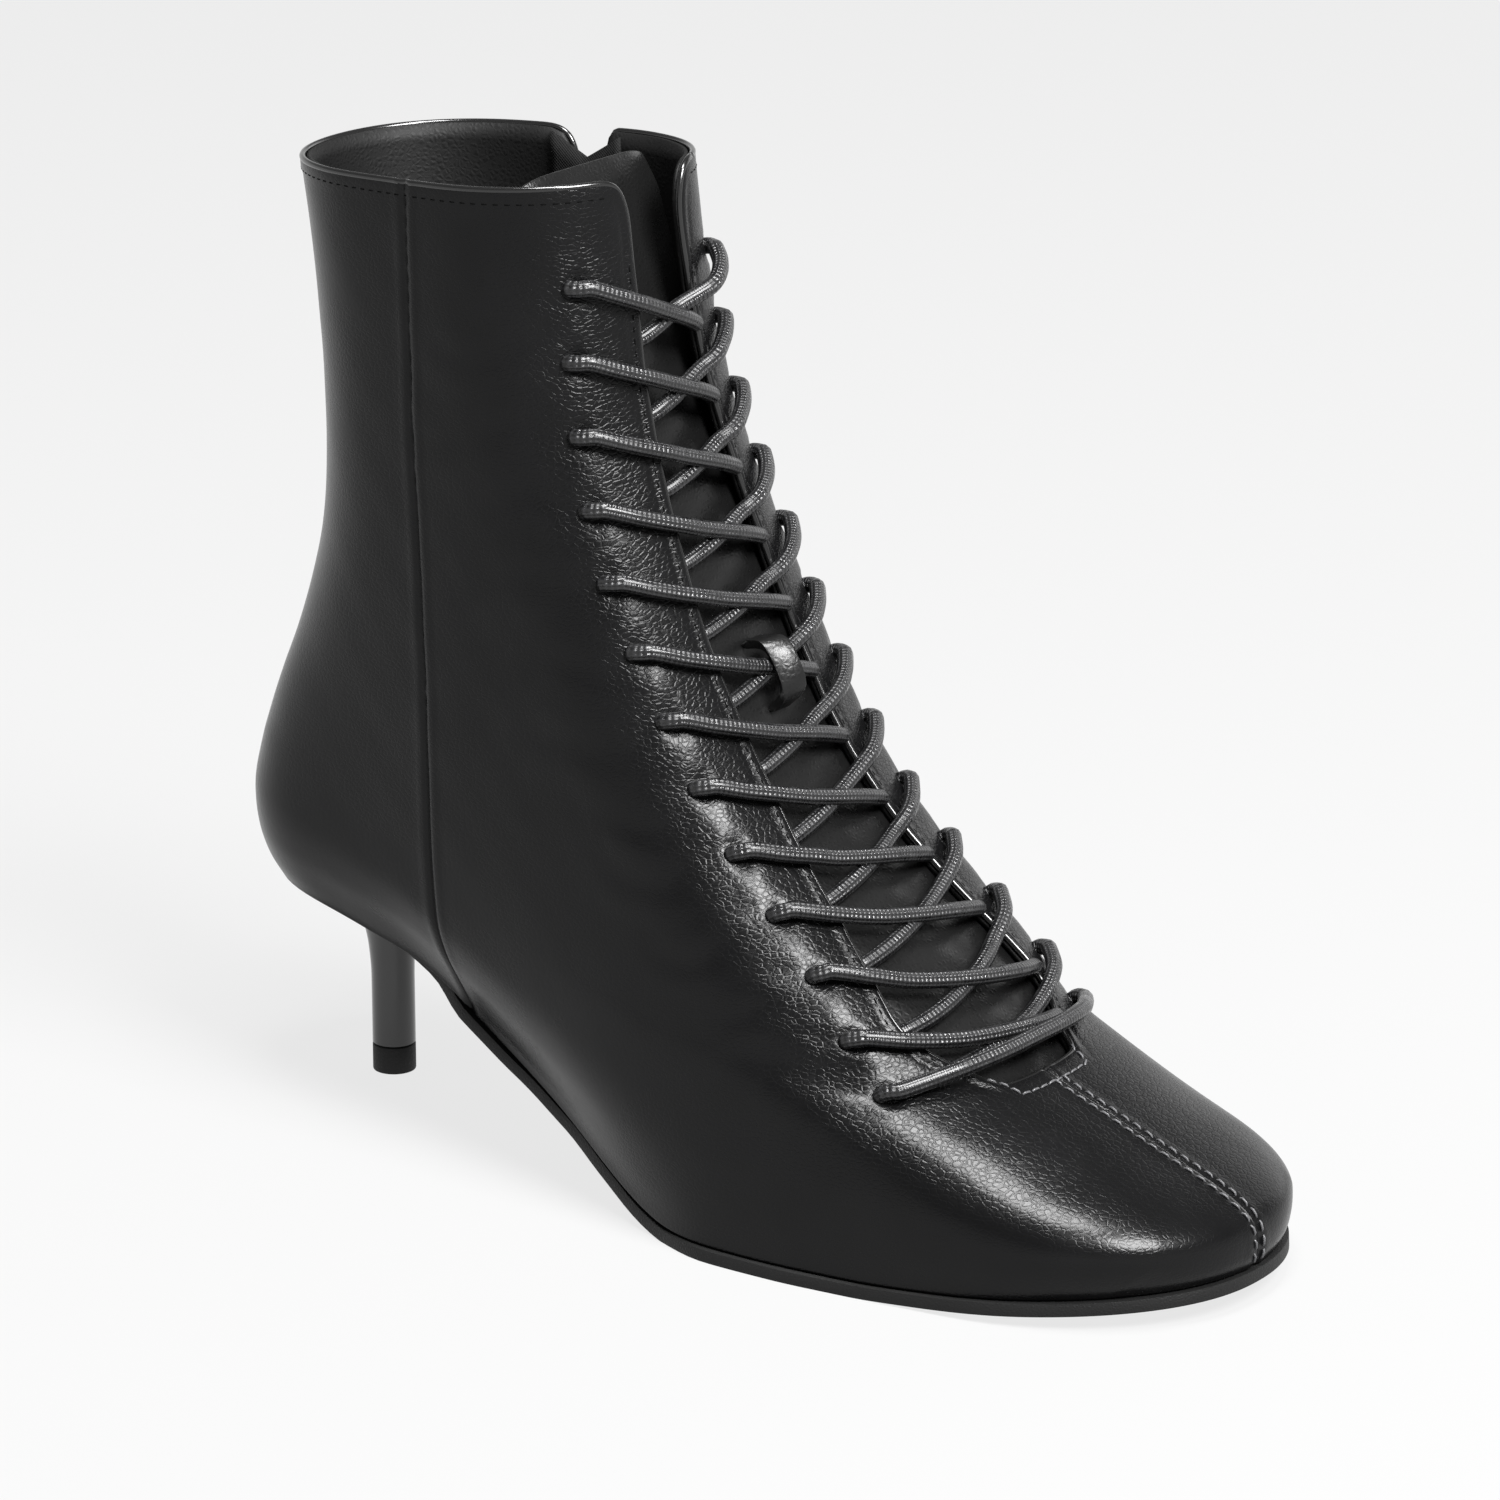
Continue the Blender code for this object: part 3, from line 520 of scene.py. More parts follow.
class Wire:
    """An output of a material's nodes that takes part in Python sums."""

    def __init__(self, tree, socket=None):
        self.tree = tree
        self.socket = socket

    def node(self, kind, settings=None, inputs=None, output=0):
        made = self.tree.nodes.new(kind)
        for name, value in (settings or {}).items():
            setattr(made, name, value)
        for name, value in (inputs or {}).items():
            if isinstance(value, Wire):
                self.tree.links.new(value.socket, made.inputs[name])
            else:
                made.inputs[name].default_value = value
        return Wire(self.tree, made.outputs[output])

    def math(self, operation, *values):
        return self.node("ShaderNodeMath", {"operation": operation}, dict(enumerate(values)))

    def __add__(self, other):
        return self.math("ADD", self, other)

    __radd__ = __add__

    def __sub__(self, other):
        return self.math("SUBTRACT", self, other)

    def __rsub__(self, other):
        return self.math("SUBTRACT", other, self)

    def __mul__(self, other):
        return self.math("MULTIPLY", self, other)

    def parts(self):
        """The X, Y and Z of a vector, each as a wire."""
        split = self.tree.nodes.new("ShaderNodeSeparateXYZ")
        self.tree.links.new(self.socket, split.inputs[0])
        return [Wire(self.tree, output) for output in split.outputs]

    def between(self, low, high):
        """0 below low and 1 above high."""
        return self.node("ShaderNodeMapRange", {"interpolation_type": "SMOOTHSTEP"},
                         {"Value": self, "From Min": low, "From Max": high})


def surface(name, colour, roughness, **constants):
    """A material's shader with its plain settings, and the wire that its patterns start from."""
    made = bpy.data.materials.new(name)
    made.use_nodes = True
    shader = made.node_tree.nodes["Principled BSDF"]
    shader.inputs["Base Color"].default_value = (*colour, 1.0)
    shader.inputs["Roughness"].default_value = roughness
    for socket, value in constants.items():
        shader.inputs[socket.replace("_", " ")].default_value = value
    return made, shader, Wire(made.node_tree)


def plug(wire, shader, socket):
    wire.tree.links.new(wire.socket, shader.inputs[socket])


def object_place(wire):
    return wire.node("ShaderNodeTexCoord", output="Object")


def noise(wire, place, scale, detail=2.0):
    return wire.node("ShaderNodeTexNoise", None,
                     {"Vector": place, "Scale": scale, "Detail": detail}, "Fac")


def cells(wire, place, scale):
    """Distance to the edge between two cells of a random pattern."""
    return wire.node("ShaderNodeTexVoronoi", {"feature": "DISTANCE_TO_EDGE"},
                     {"Vector": place, "Scale": scale}, "Distance")


def stored(wire, name):
    """A value that a piece keeps at each vertex."""
    return wire.node("ShaderNodeAttribute", {"attribute_name": name}, output="Fac")


def blend_colours(wire, factor, first, second):
    return wire.node("ShaderNodeMix", {"data_type": "RGBA"},
                     {0: factor, 6: (*first, 1.0), 7: (*second, 1.0)}, 2)


def relief(wire, shader, height, depth):
    """Height from 0 to 1 becomes small relief of the given depth in metres."""
    bump = wire.node("ShaderNodeBump", None, {"Height": height, "Distance": depth})
    plug(bump, shader, "Normal")


# %% [markdown]
# Smooth black leather is almost black, so its looks come from light: a soft gloss, a thin clear
# coat, and fine grain that shows more where the leather is pulled at the lace holes. The grain
# is small cells with creases between them, crossed by short wrinkles where the leather is worked.
# Their relief is scaled by a value that the upper stores at each vertex, so one material serves
# smooth and worked leather. A second stored value cuts the thin dark line of a seam.

# %% Upper leather


def make_upper_leather():
    made, shader, wire = surface("upper_leather", (0.003, 0.003, 0.003), 0.28,
                                 Coat_Weight=0.06, Coat_Roughness=0.16,
                                 Specular_IOR_Level=0.15)
    place = object_place(wire)
    worked = stored(wire, "worked")
    seam = stored(wire, "seam")
    warp = noise(wire, place, 320.0)
    moved = wire.node("ShaderNodeVectorMath", {"operation": "MULTIPLY_ADD"},
                      {0: warp, 1: (0.0010, 0.0010, 0.0010), 2: place})
    flattened = wire.node("ShaderNodeVectorMath", {"operation": "MULTIPLY"},
                          {0: moved, 1: (0.8, 0.8, 1.3)})
    grain = cells(wire, flattened, 880.0).between(0.0, 0.20)
    fine = noise(wire, moved, 2200.0)
    folds = noise(wire, flattened, 300.0)
    wrinkle = wire.math("ABSOLUTE", folds - 0.5).between(0.0, 0.08)
    patches = noise(wire, place, 60.0, 3.0)
    strength = (worked * 0.65 + 0.35) * (patches * 0.7 + 0.65)
    crack = 1 - seam.between(0.00008, 0.0005)
    height = (grain * 0.60 + fine * 0.08 + wrinkle * worked * 0.22) * strength - crack * 2.4
    relief(wire, shader, height, 0.000085)
    tone = blend_colours(wire, patches, (0.0016, 0.0016, 0.0017), (0.0036, 0.0036, 0.0038))
    plug(tone, shader, "Base Color")
    plug(0.23 + patches * 0.08 + (1 - grain) * worked * 0.06 + crack * 0.3, shader, "Roughness")
    return made


upper_leather = make_upper_leather()
print("made", upper_leather.name)

# %% [markdown]
# The other finishes follow the same way: the tongue has a rounder pebble grain, the lining is a
# dull split leather, the sole a fine moulded rubber, and the heel a hard gloss.

# %% Other finishes


def make_grained(name, low, high, rough, scale, depth, coat=0.2):
    made, shader, wire = surface(name, high, rough, Coat_Weight=coat, Coat_Roughness=0.25,
                                 Specular_IOR_Level=0.2)
    place = object_place(wire)
    pebble = cells(wire, place, scale).between(0.0, 0.45)
    fine = noise(wire, place, 3.1 * scale)
    patches = noise(wire, place, 55.0, 3.0)
    plug(blend_colours(wire, patches, low, high), shader, "Base Color")
    relief(wire, shader, pebble * 0.75 + fine * 0.25, depth)
    plug(rough - 0.06 + patches * 0.12 + (1 - pebble) * 0.08, shader, "Roughness")
    return made


tongue_leather = make_grained("tongue_leather", (0.003, 0.003, 0.003), (0.005, 0.005, 0.005),
                              0.26, 900.0, 0.00006, 0.2)
lining_leather = make_grained("lining_leather", (0.0015, 0.0015, 0.0015), (0.003, 0.003, 0.003),
                              0.55, 900.0, 0.00006, 0.0)
sock_leather = make_grained("sock_leather", (0.015, 0.015, 0.016), (0.026, 0.026, 0.028),
                            0.55, 800.0, 0.00010)
sole_rubber = make_grained("sole_rubber", (0.005, 0.005, 0.005), (0.009, 0.009, 0.009),
                           0.46, 1500.0, 0.00007, 0.0)
tip_rubber = make_grained("tip_rubber", (0.009, 0.009, 0.009), (0.014, 0.014, 0.014),
                          0.5, 1400.0, 0.00005, 0.0)


def make_gloss(name, low, high, rough, coat):
    """A smooth hard gloss whose sheen drifts a little over the piece."""
    made, shader, wire = surface(name, high, rough, Coat_Weight=coat, Coat_Roughness=0.15)
    drift = noise(wire, object_place(wire), 90.0)
    plug(blend_colours(wire, drift, low, high), shader, "Base Color")
    plug(rough - 0.04 + drift * 0.08, shader, "Roughness")
    return made


edge_gloss = make_gloss("edge_gloss", (0.003, 0.003, 0.003), (0.005, 0.005, 0.005), 0.22, 0.3)
heel_gloss = make_gloss("heel_gloss", (0.006, 0.006, 0.006), (0.009, 0.009, 0.009), 0.26, 0.4)
slider_metal = make_gloss("slider_metal", (0.010, 0.010, 0.011), (0.018, 0.018, 0.020), 0.28, 0.5)


BRAID_STRANDS = 5


def make_lace_cord():
    """A waxed braid: two sets of strands wind round the cord and cross in diamonds."""
    made, shader, wire = surface("lace_cord", (0.010, 0.010, 0.010), 0.4,
                                 Coat_Weight=0.30, Coat_Roughness=0.2,
                                 Specular_IOR_Level=0.4)
    around, along, _ = wire.node("ShaderNodeTexCoord", output="UV").parts()
    one = (around * BRAID_STRANDS + along * BRAID_STRANDS) * math.tau
    two = (around * BRAID_STRANDS - along * BRAID_STRANDS) * math.tau
    braid = wire.math("SINE", one) * wire.math("SINE", two) * 0.5 + 0.5
    fuzz = noise(wire, object_place(wire), 3500.0)
    relief(wire, shader, braid * 0.8 + fuzz * 0.2, 0.00040)
    wax = noise(wire, object_place(wire), 420.0).between(0.4, 0.65)
    # The braid's colour is darker in the grooves between strands and lighter on their crossings:
    # painted shade and painted highlight.
    tone = blend_colours(wire, braid, (0.002, 0.002, 0.002), (0.014, 0.014, 0.015))
    plug(tone, shader, "Base Color")
    plug(0.50 - wax * 0.28 - braid * 0.06, shader, "Roughness")
    return made


WEAVE_SCALE = 9000.0


def make_zip_cloth():
    made, shader, wire = surface("zip_cloth", (0.005, 0.005, 0.005), 0.8,
                                 Specular_IOR_Level=0.15)
    along, _, upward = object_place(wire).parts()
    across = wire.math("SINE", along * WEAVE_SCALE)
    upward = wire.math("SINE", upward * WEAVE_SCALE)
    weave = across * upward * 0.5 + 0.5
    relief(wire, shader, weave, 0.00012)
    # The weave's hollows are painted darker than its raised threads: painted shade.
    plug(blend_colours(wire, weave, (0.002, 0.002, 0.002), (0.006, 0.006, 0.006)), shader,
         "Base Color")
    return made


def make_thread(name, low, high, coat):
    made, shader, wire = surface(name, high, 0.42, Coat_Weight=coat, Coat_Roughness=0.2,
                                 Specular_IOR_Level=0.5 * coat)
    twist = noise(wire, object_place(wire), 5200.0)
    relief(wire, shader, twist, 0.00006)
    # The thread's colour follows its twist relief and is darker where the relief sinks: painted
    # shade.
    plug(blend_colours(wire, twist, low, high), shader, "Base Color")
    return made


lace_cord = make_lace_cord()
zip_cloth = make_zip_cloth()
edge_thread = make_thread("edge_thread", (0.002, 0.002, 0.002), (0.005, 0.005, 0.005), 0.0)
# The seam thread is shiny black. Its light grey colour is a painted highlight: the light that the
# thread catches.
seam_thread_painted_highlight = make_thread("seam_thread_painted_highlight", (0.030, 0.030, 0.031), (0.090, 0.090, 0.094), 0.3)
coil_nylon = make_grained("coil_nylon", (0.008, 0.008, 0.008), (0.014, 0.014, 0.014),
                          0.3, 2000.0, 0.00002, 0.3)
print("materials:", len(bpy.data.materials))

# %% [markdown]
# The upper is one sheet of leather. It starts as a flat grid whose columns run round the boot
# and whose rows climb it, is laid onto the skin, and gets its throat and its zip slot by
# deleting faces. Two levels of subdivision then make it smooth, with about a millimetre between
# points, fine enough to press real creases into it.

# %% Upper sheet
BACK_COLUMNS = 7
FRONT_COLUMNS = 24
THROAT_COLUMNS = 4
THROAT_SPREAD = 0.022
SLOT_HALF = 0.0033
SLOT_FLARE = 0.0018
SLOT_BOTTOM_ROW = 4
ZIP_TOP_ROW = 20.35
ROW_STEP = 0.5


def opening_arc(row, side):
    """Length from the front centre to the facing's edge, or below it to the throat's column."""
    if row >= THROAT_ROW:
        return facing_arc(row, side)
    share = row_value("half_gap", THROAT_ROW) + THROAT_SPREAD * (THROAT_ROW - row)
    return arc_at_width(row, side, BALL_WIDTH * share)


def upper_line(row, side):
    """Points of one row on one side, from the back centre to the front centre."""
    line, lengths = fine_loop(round(row, 4), side)
    end = lengths[-1] - opening_arc(row, side)
    start = seam_length(row, side)
    slot = SLOT_HALF + SLOT_FLARE * float(ease(ZIP_TOP_ROW, TOP_ROW, row))
    back_part = (start - slot) * np.linspace(0, 1, BACK_COLUMNS + 1)[:-1]
    crowd = 1.0 + 0.55 * (1 - float(ease(6, 14, row)))
    share = 1 - (1 - np.linspace(0, 1, FRONT_COLUMNS + 1)[1:]) ** crowd
    front_part = start + slot + (end - start - slot) * share
    throat_part = end + (lengths[-1] - end) * np.linspace(0, 1, THROAT_COLUMNS + 1)[1:]
    stops = np.concatenate([back_part, [start - slot, start, start + slot], front_part,
                            throat_part])
    points = at_length(line, lengths, stops)
    near = np.clip(1 - (end - stops) / COLLAR_CORNER, 0, 1)
    drop = COLLAR_CORNER * (1 - np.sqrt(1 - near**2)) * max(0.0, (row - TOP_ROW + 2) / 2)
    points[:, 2] -= drop
    return points


def upper_sheet(name, levels):
    rows = np.arange(0, TOP_ROW + ROW_STEP / 2, ROW_STEP)
    grid = []
    for row in rows:
        lateral = upper_line(float(row), -1)
        medial = upper_line(float(row), 1)
        grid.append(np.concatenate([lateral[::-1], medial[1:]]))
    piece = grid_piece(name, grid)
    bm = bmesh.new()
    bm.from_mesh(piece.data)
    per_row = 2 * (BACK_COLUMNS + 2 + FRONT_COLUMNS + THROAT_COLUMNS)
    slot_first = per_row // 2 + BACK_COLUMNS
    gone = []
    bm.faces.ensure_lookup_table()
    centres = {}
    for face in bm.faces:
        i = min(v.index for v in face.verts)
        centres[face] = (i % (per_row + 1), i // (per_row + 1))
    for face, (column, row) in centres.items():
        in_throat = column < THROAT_COLUMNS or column >= per_row - THROAT_COLUMNS
        in_slot = column in (slot_first, slot_first + 1)
        if in_throat and row * ROW_STEP >= THROAT_ROW:
            gone.append(face)
        elif in_slot and row * ROW_STEP >= SLOT_BOTTOM_ROW:
            gone.append(face)
    bmesh.ops.delete(bm, geom=gone, context="FACES")
    loose = [v for v in bm.verts if not v.link_faces]
    bmesh.ops.delete(bm, geom=loose, context="VERTS")
    bmesh.ops.remove_doubles(bm, verts=bm.verts, dist=1e-5)
    bm.to_mesh(piece.data)
    bm.free()
    face_away(piece, (0.05, 0.0, 0.06))
    modify(piece, "SUBSURF", levels=levels, render_levels=levels)
    return piece


upper = upper_sheet("upper_shell", 2)
upper_points = read_points(upper.data)
upper_normals = read_normals(upper.data)
print("upper sheet points:", len(upper_points))

# %% [markdown]
# Leather keeps the marks of how it is pulled. Each lace presses a dimple round its hole and the
# facing bulges between two holes. Seams sink, turned edges stand a little proud, and soft folds
# run back from the lacing where the ankle bends. Every mark is a distance in metres and a small
# push along the surface's normal.

# %% Marks in the leather
HOLE_DIMPLE = (-0.00085, 0.0, 0.0020)
HOLE_RIM = (0.00016, 0.0036, 0.0012)
HOLE_PULL = (-0.00026, 0.0, 0.0016)
PULL_REACH = (1.0, 0.006, 0.005)
BULGE = (0.00062, 0.0, 0.0052)
SEAM_GROOVE = (-0.00042, 0.0, 0.00055)
SEAM_SHOULDER = (0.00020, 0.0017, 0.0009)
EDGE_RISE = (0.00030, 0.0011, 0.0009)
EDGE_GROOVE = (-0.00018, 0.0026, 0.0006)
WORKED_REACH = 0.013
CREASE_REACH = 0.045
WAVE_HEIGHT = 0.00007

# side, row and length from the facing where it starts, the same where it ends, depth, width
CREASES = (
    (-1, 19.2, 0.016, 18.9, 0.050, 0.00028, 0.0024),
    (-1, 18.3, 0.018, 17.7, 0.060, 0.00032, 0.0030),
    (-1, 17.5, 0.016, 17.3, 0.046, 0.00030, 0.0022),
    (-1, 16.8, 0.018, 16.1, 0.062, 0.00036, 0.0030),
    (-1, 16.0, 0.016, 15.5, 0.050, 0.00034, 0.0024),
    (-1, 15.3, 0.018, 14.4, 0.064, 0.00040, 0.0032),
    (-1, 14.6, 0.016, 13.8, 0.048, 0.00034, 0.0024),
    (-1, 13.9, 0.018, 12.9, 0.056, 0.00038, 0.0030),
    (-1, 12.8, 0.018, 11.6, 0.052, 0.00032, 0.0028),
    (-1, 11.6, 0.016, 10.2, 0.046, 0.00026, 0.0026),
    (1, 19.0, 0.016, 18.5, 0.045, 0.00028, 0.0024),
    (1, 17.9, 0.018, 17.4, 0.050, 0.00032, 0.0030),
    (1, 16.9, 0.016, 16.2, 0.046, 0.00034, 0.0026),
    (1, 15.8, 0.018, 15.2, 0.056, 0.00036, 0.0030),
    (1, 14.9, 0.016, 14.0, 0.050, 0.00036, 0.0026),
    (1, 13.7, 0.018, 12.6, 0.052, 0.00036, 0.0030),
    (1, 12.4, 0.016, 11.0, 0.046, 0.00028, 0.0026))


def press(distance, height, place, width):
    """A soft rise, or a dent when height is negative, highest where distance equals place."""
    return height * np.exp(-((distance - place) / width) ** 2)


def skin_line(rows, point):
    return np.array([point(float(row)) for row in rows])


hole_points = {side: skin_line(hole_rows, lambda r: front_point(r, side * hole_arc(r, side)))
               for side in (-1, 1)}
centre_seam = skin_line(np.linspace(0, THROAT_ROW, 300), lambda r: front_point(r, 0.0))
lateral_seam = skin_line(np.linspace(0, TOP_ROW, 420), lambda r: side_point(r, -1, 0.0))
medial_seam = skin_line(np.linspace(0, SLOT_BOTTOM_ROW, 90), lambda r: side_point(r, 1, 0.0))
push = np.zeros(len(upper_points))
worked = np.zeros(len(upper_points))

for side, holes in hole_points.items():
    for i, hole in enumerate(holes):
        away = np.linalg.norm(upper_points - hole, axis=1)
        push += press(away, *HOLE_DIMPLE)
        push += press(away, *HOLE_RIM)
        worked = np.maximum(worked, press(away, 1.0, 0.0, WORKED_REACH))
        row = float(hole_rows[i])
        back = front_point(row, side * (hole_arc(row, side) + 0.012)) - hole
        back = back / np.linalg.norm(back)
        rest = upper_points - hole
        run = rest @ back
        off = np.linalg.norm(rest - run[:, None] * back, axis=1)
        push += press(off, *HOLE_PULL) * press(run, *PULL_REACH)
        if i + 1 < len(holes):
            middle = (hole + holes[i + 1]) / 2
            away = np.linalg.norm(upper_points - middle, axis=1)
            push += press(away, *BULGE)

for side, row_a, arc_a, row_b, arc_b, depth, width in CREASES:
    shares = np.linspace(0, 1, 40)
    track = []
    for t in shares:
        row = row_a + (row_b - row_a) * t
        arc = facing_arc(row, side) + arc_a + (arc_b - arc_a) * t
        track.append(front_point(row + 0.10 * math.sin(7 * t + row_a), side * arc))
    track = np.array(track)
    near = np.where(np.linalg.norm(upper_points - track[20], axis=1) < CREASE_REACH)[0]
    gaps = np.linalg.norm(upper_points[near][:, None, :] - track[None, :, :], axis=2)
    best = gaps.argmin(axis=1)
    away = gaps.min(axis=1)
    fade = np.sin(math.pi * shares[best]) ** 0.8
    push[near] += fade * depth * (press(away, 0.55, 1.7 * width, width)
                                  - press(away, 1.0, 0.0, width))

seam_reach = np.minimum(reach_of(upper_points, centre_seam), reach_of(upper_points, lateral_seam))
seam_reach = np.minimum(seam_reach, reach_of(upper_points, medial_seam))
push += press(seam_reach, *SEAM_GROOVE)
push += press(seam_reach, *SEAM_SHOULDER)

wave = (np.sin(upper_points[:, 0] * 190 + upper_points[:, 2] * 70)
        * np.sin(upper_points[:, 2] * 240 - upper_points[:, 0] * 60 + 1.3)
        + 0.6 * np.sin(upper_points[:, 2] * 420 + upper_points[:, 0] * 130)
        * np.sin(upper_points[:, 0] * 330 - upper_points[:, 1] * 90))
shaft = ease(0.05, 0.09, upper_points[:, 2]) * ease(0.0, 0.03, upper_points[:, 0])
push += WAVE_HEIGHT * wave * (0.35 + 0.65 * shaft)
print("deepest mark:", round(float(push.min()) * 1000, 2), "mm")

# %% [markdown]
# The collar, the facings and the zip's edges are turned under and stitched. Their border is
# found as the edges with one face only, and the sheet rises softly beside it.

# %% Turned edges
LEATHER_THICKNESS = 0.0011
LOWEST_EDGE = 0.030
CLEAR_OF_FEATHER = 0.006


def open_edges(mesh):
    """The edges of a sheet that only one face has, as pairs of vertex numbers."""
    count = {}
    for face in mesh.polygons:
        for key in face.edge_keys:
            count[key] = count.get(key, 0) + 1
    return [key for key, n in count.items() if n == 1]


def border_loop(mesh):
    """Points round the upper border of a sheet in order, sunk to the middle of the leather."""
    follow = {}
    for a, b in open_edges(mesh):
        follow.setdefault(a, []).append(b)
        follow.setdefault(b, []).append(a)
    start = max(follow, key=lambda i: mesh.vertices[i].co.z)
    loop = [start]
    here, last = follow[start][0], start
    while here != start:
        loop.append(here)
        here, last = next(i for i in follow[here] if i != last), here
    middle = [mesh.vertices[i].co - mesh.vertices[i].normal * LEATHER_THICKNESS / 2 for i in loop]
    return np.array(middle + middle[:1])


border = sorted({i for key in open_edges(upper.data) for i in key})
turned_points = []
for p in upper_points[border]:
    feather = float(sole_bottom(p[0]) + feather_lift(p[0]))
    if p[2] > max(LOWEST_EDGE, feather + CLEAR_OF_FEATHER):
        turned_points.append(p)
edge_reach = reach_of(upper_points, turned_points)
push += press(edge_reach, *EDGE_RISE)
push += press(edge_reach, *EDGE_GROOVE)
top_of_foot = ease(0.10, 0.15, upper_points[:, 0]) * ease(0.012, 0.030, upper_points[:, 2])
worked = np.clip(worked + 0.55 * top_of_foot + 0.25 * shaft, 0, 1)
write_points(upper.data, upper_points + upper_normals * push[:, None])
keep_value(upper.data, "worked", worked)
keep_value(upper.data, "seam", seam_reach)
leather_tree = BVHTree.FromPolygons([v.co.copy() for v in upper.data.vertices],
                                    [tuple(f.vertices) for f in upper.data.polygons])
leather_edge = border_loop(upper.data)
modify(upper, "SOLIDIFY", thickness=LEATHER_THICKNESS, offset=-1.0, use_even_offset=False)
round_edges(upper, 0.00045, 3)
settle(upper, upper_leather, replaces=("upper",))

# %% [markdown]
# Where leather is folded under, its edge is a small round roll that catches a thin line of light.
# A tube along the border of the sheet, in the middle of its thickness, gives that roll all the
# way round the collar, the facings, the throat and the zip.

# %% Rolled edge
edge_roll = tube("rolled_edge", leather_edge, 0.60 * LEATHER_THICKNESS, 10, 0.0009)
settle(edge_roll, edge_gloss)

# %% [markdown]
# The lining is a second, thinner sheet just inside the first. It shows in the mouth of the boot,
# so it is made the same way with fewer points, moved inward and given its own thickness.

# %% Lining
LINING_DEPTH = 0.00125
LINING_THICKNESS = 0.0007
lining = upper_sheet("lining_shell", 1)
lining_points = read_points(lining.data)
inward = read_normals(lining.data)
ripple = 0.00025 * np.sin(lining_points[:, 0] * 260 + lining_points[:, 1] * 190)
ripple = ripple * np.sin(lining_points[:, 2] * 60 + 1.0)
write_points(lining.data, lining_points - inward * (LINING_DEPTH + np.abs(ripple))[:, None])
modify(lining, "SOLIDIFY", thickness=LINING_THICKNESS, offset=-1.0, use_even_offset=False)
lining.data.shade_smooth()
settle(lining, lining_leather)

# %% [markdown]
# The tongue lies behind the lacing. It follows the skin lower down and leans back on its own at
# the top, where its edge is cut straight with round corners. Between two crossings of the lace
# it swells a little, which catches the light in the gaps.

# %% Tongue
TONGUE_CLEARANCE = WALL + 1.5 * GAP
TONGUE_THICKNESS = 0.0016
TONGUE_DENT = (-0.00075, 0.0, 0.0042)
TONGUE_SWELL = (0.00060, 0.0, 0.0048)
TONGUE = {
    "row": (7.1, 8.0, 9.0, 10.5, 12.0, 14.0, 16.0, 18.0, 19.2, 20.2, 21.0),
    "half": (0.17, 0.25, 0.31, 0.35, 0.33, 0.30, 0.29, 0.285, 0.282, 0.278, 0.272),
    "sink": (0.0, 0.0, 0.0, 0.0, 0.0, 0.0, 0.002, 0.010, 0.022, 0.040, 0.058)}


def tongue_point(row, share):
    half = BALL_WIDTH * float(smooth(TONGUE["row"], TONGUE["half"], row))
    corner = float(ease(20.5, 21.0, row))
    half = half * (1 - 0.05 * corner**2)
    sink = LENGTH * float(smooth(TONGUE["row"], TONGUE["sink"], row))
    centre = off_front(row, 0.0, -TONGUE_CLEARANCE)
    flat = 0.75 * float(ease(18.0, 21.0, row))
    under = float(ease(0.55, 0.9, abs(share)))
    p = off_front(row, share * half, -TONGUE_CLEARANCE - 0.0006 * under)
    p[0] = p[0] + (centre[0] - p[0]) * flat - sink
    p[2] -= 0.0016 * corner * abs(share) ** 5
    return p


tongue_rows = np.linspace(7.1, 21.0, 64)
tongue_shares = np.linspace(-1, 1, 19)
tongue = grid_piece("tongue_shell", [[tongue_point(float(r), float(s)) for s in tongue_shares]
                                     for r in tongue_rows])
face_away(tongue, (0.0, 0.0, 0.05))
modify(tongue, "SUBSURF", levels=1, render_levels=1)
points = read_points(tongue.data)
normals = read_normals(tongue.data)
swell = np.zeros(len(points))
for i in range(len(hole_rows) - 1):
    row = float(hole_rows[i] + 0.45 * (hole_rows[i + 1] - hole_rows[i]))
    crossing = off_front(row, 0.0, -TONGUE_CLEARANCE)
    between = off_front(float(hole_rows[i + 1]), 0.0, -TONGUE_CLEARANCE)
    swell += press(np.linalg.norm(points - crossing, axis=1), *TONGUE_DENT)
    swell += press(np.linalg.norm(points - between, axis=1), *TONGUE_SWELL)
swell += 0.0001 * np.sin(points[:, 2] * 700 + points[:, 1] * 300) * np.sin(points[:, 1] * 500)
write_points(tongue.data, points + normals * swell[:, None])
modify(tongue, "SOLIDIFY", thickness=TONGUE_THICKNESS, offset=-1.0, use_even_offset=False)
round_edges(tongue, 0.0004, 2)
settle(tongue, tongue_leather, replaces=("tongue",))

# %% [markdown]
# One round lace runs through all the holes. It comes out of a hole, crosses the gap, dives under
# the far facing and comes out of the next hole on that side. A bar over the outside joins the
# two runs at the bottom. The path is one list of points, and a braided tube follows it. Under
# the facings the lace is pressed flat, as leather and tongue squeeze it there.

# %% Lace
LACE_RADIUS = 0.00170
LACE_REST = LACE_RADIUS + 0.0006
HOLE_BACK = 0.0022
BAR_ROWS = 0.9
BAR_OVER_CROSS = 0.0026
DIVE_SHARE = 0.80
LAST_DIVE_SHARE = 0.50
LOOSE_LOOP = 0.0022


class Run:
    """Points of the lace with how flat it is at each and the direction that presses it."""

    def __init__(self):
        self.path = []
        self.flat = []
        self.lean = []

    def add(self, row, arc, offset, flat=1.0):
        p, normal, _ = frame_at(front_point, row, arc)
        self.path.append(p + normal * offset)
        self.flat.append(flat)
        self.lean.append(normal)


def out_of_hole(run, k, side, heading=1):
    """Up through hole k and back toward the opening, or the same way down."""
    row = float(hole_rows[k])
    arc = hole_arc(row, side)
    steps = [(0.0010, -0.0022, 0.6), (0.0016, -0.0008, 0.9), (0.0014, 0.0008, 1.0),
             (-0.0004, 0.0019, 1.0)]
    for extra, offset, flat in steps[::heading]:
        run.add(row, side * (arc + extra), offset, flat)


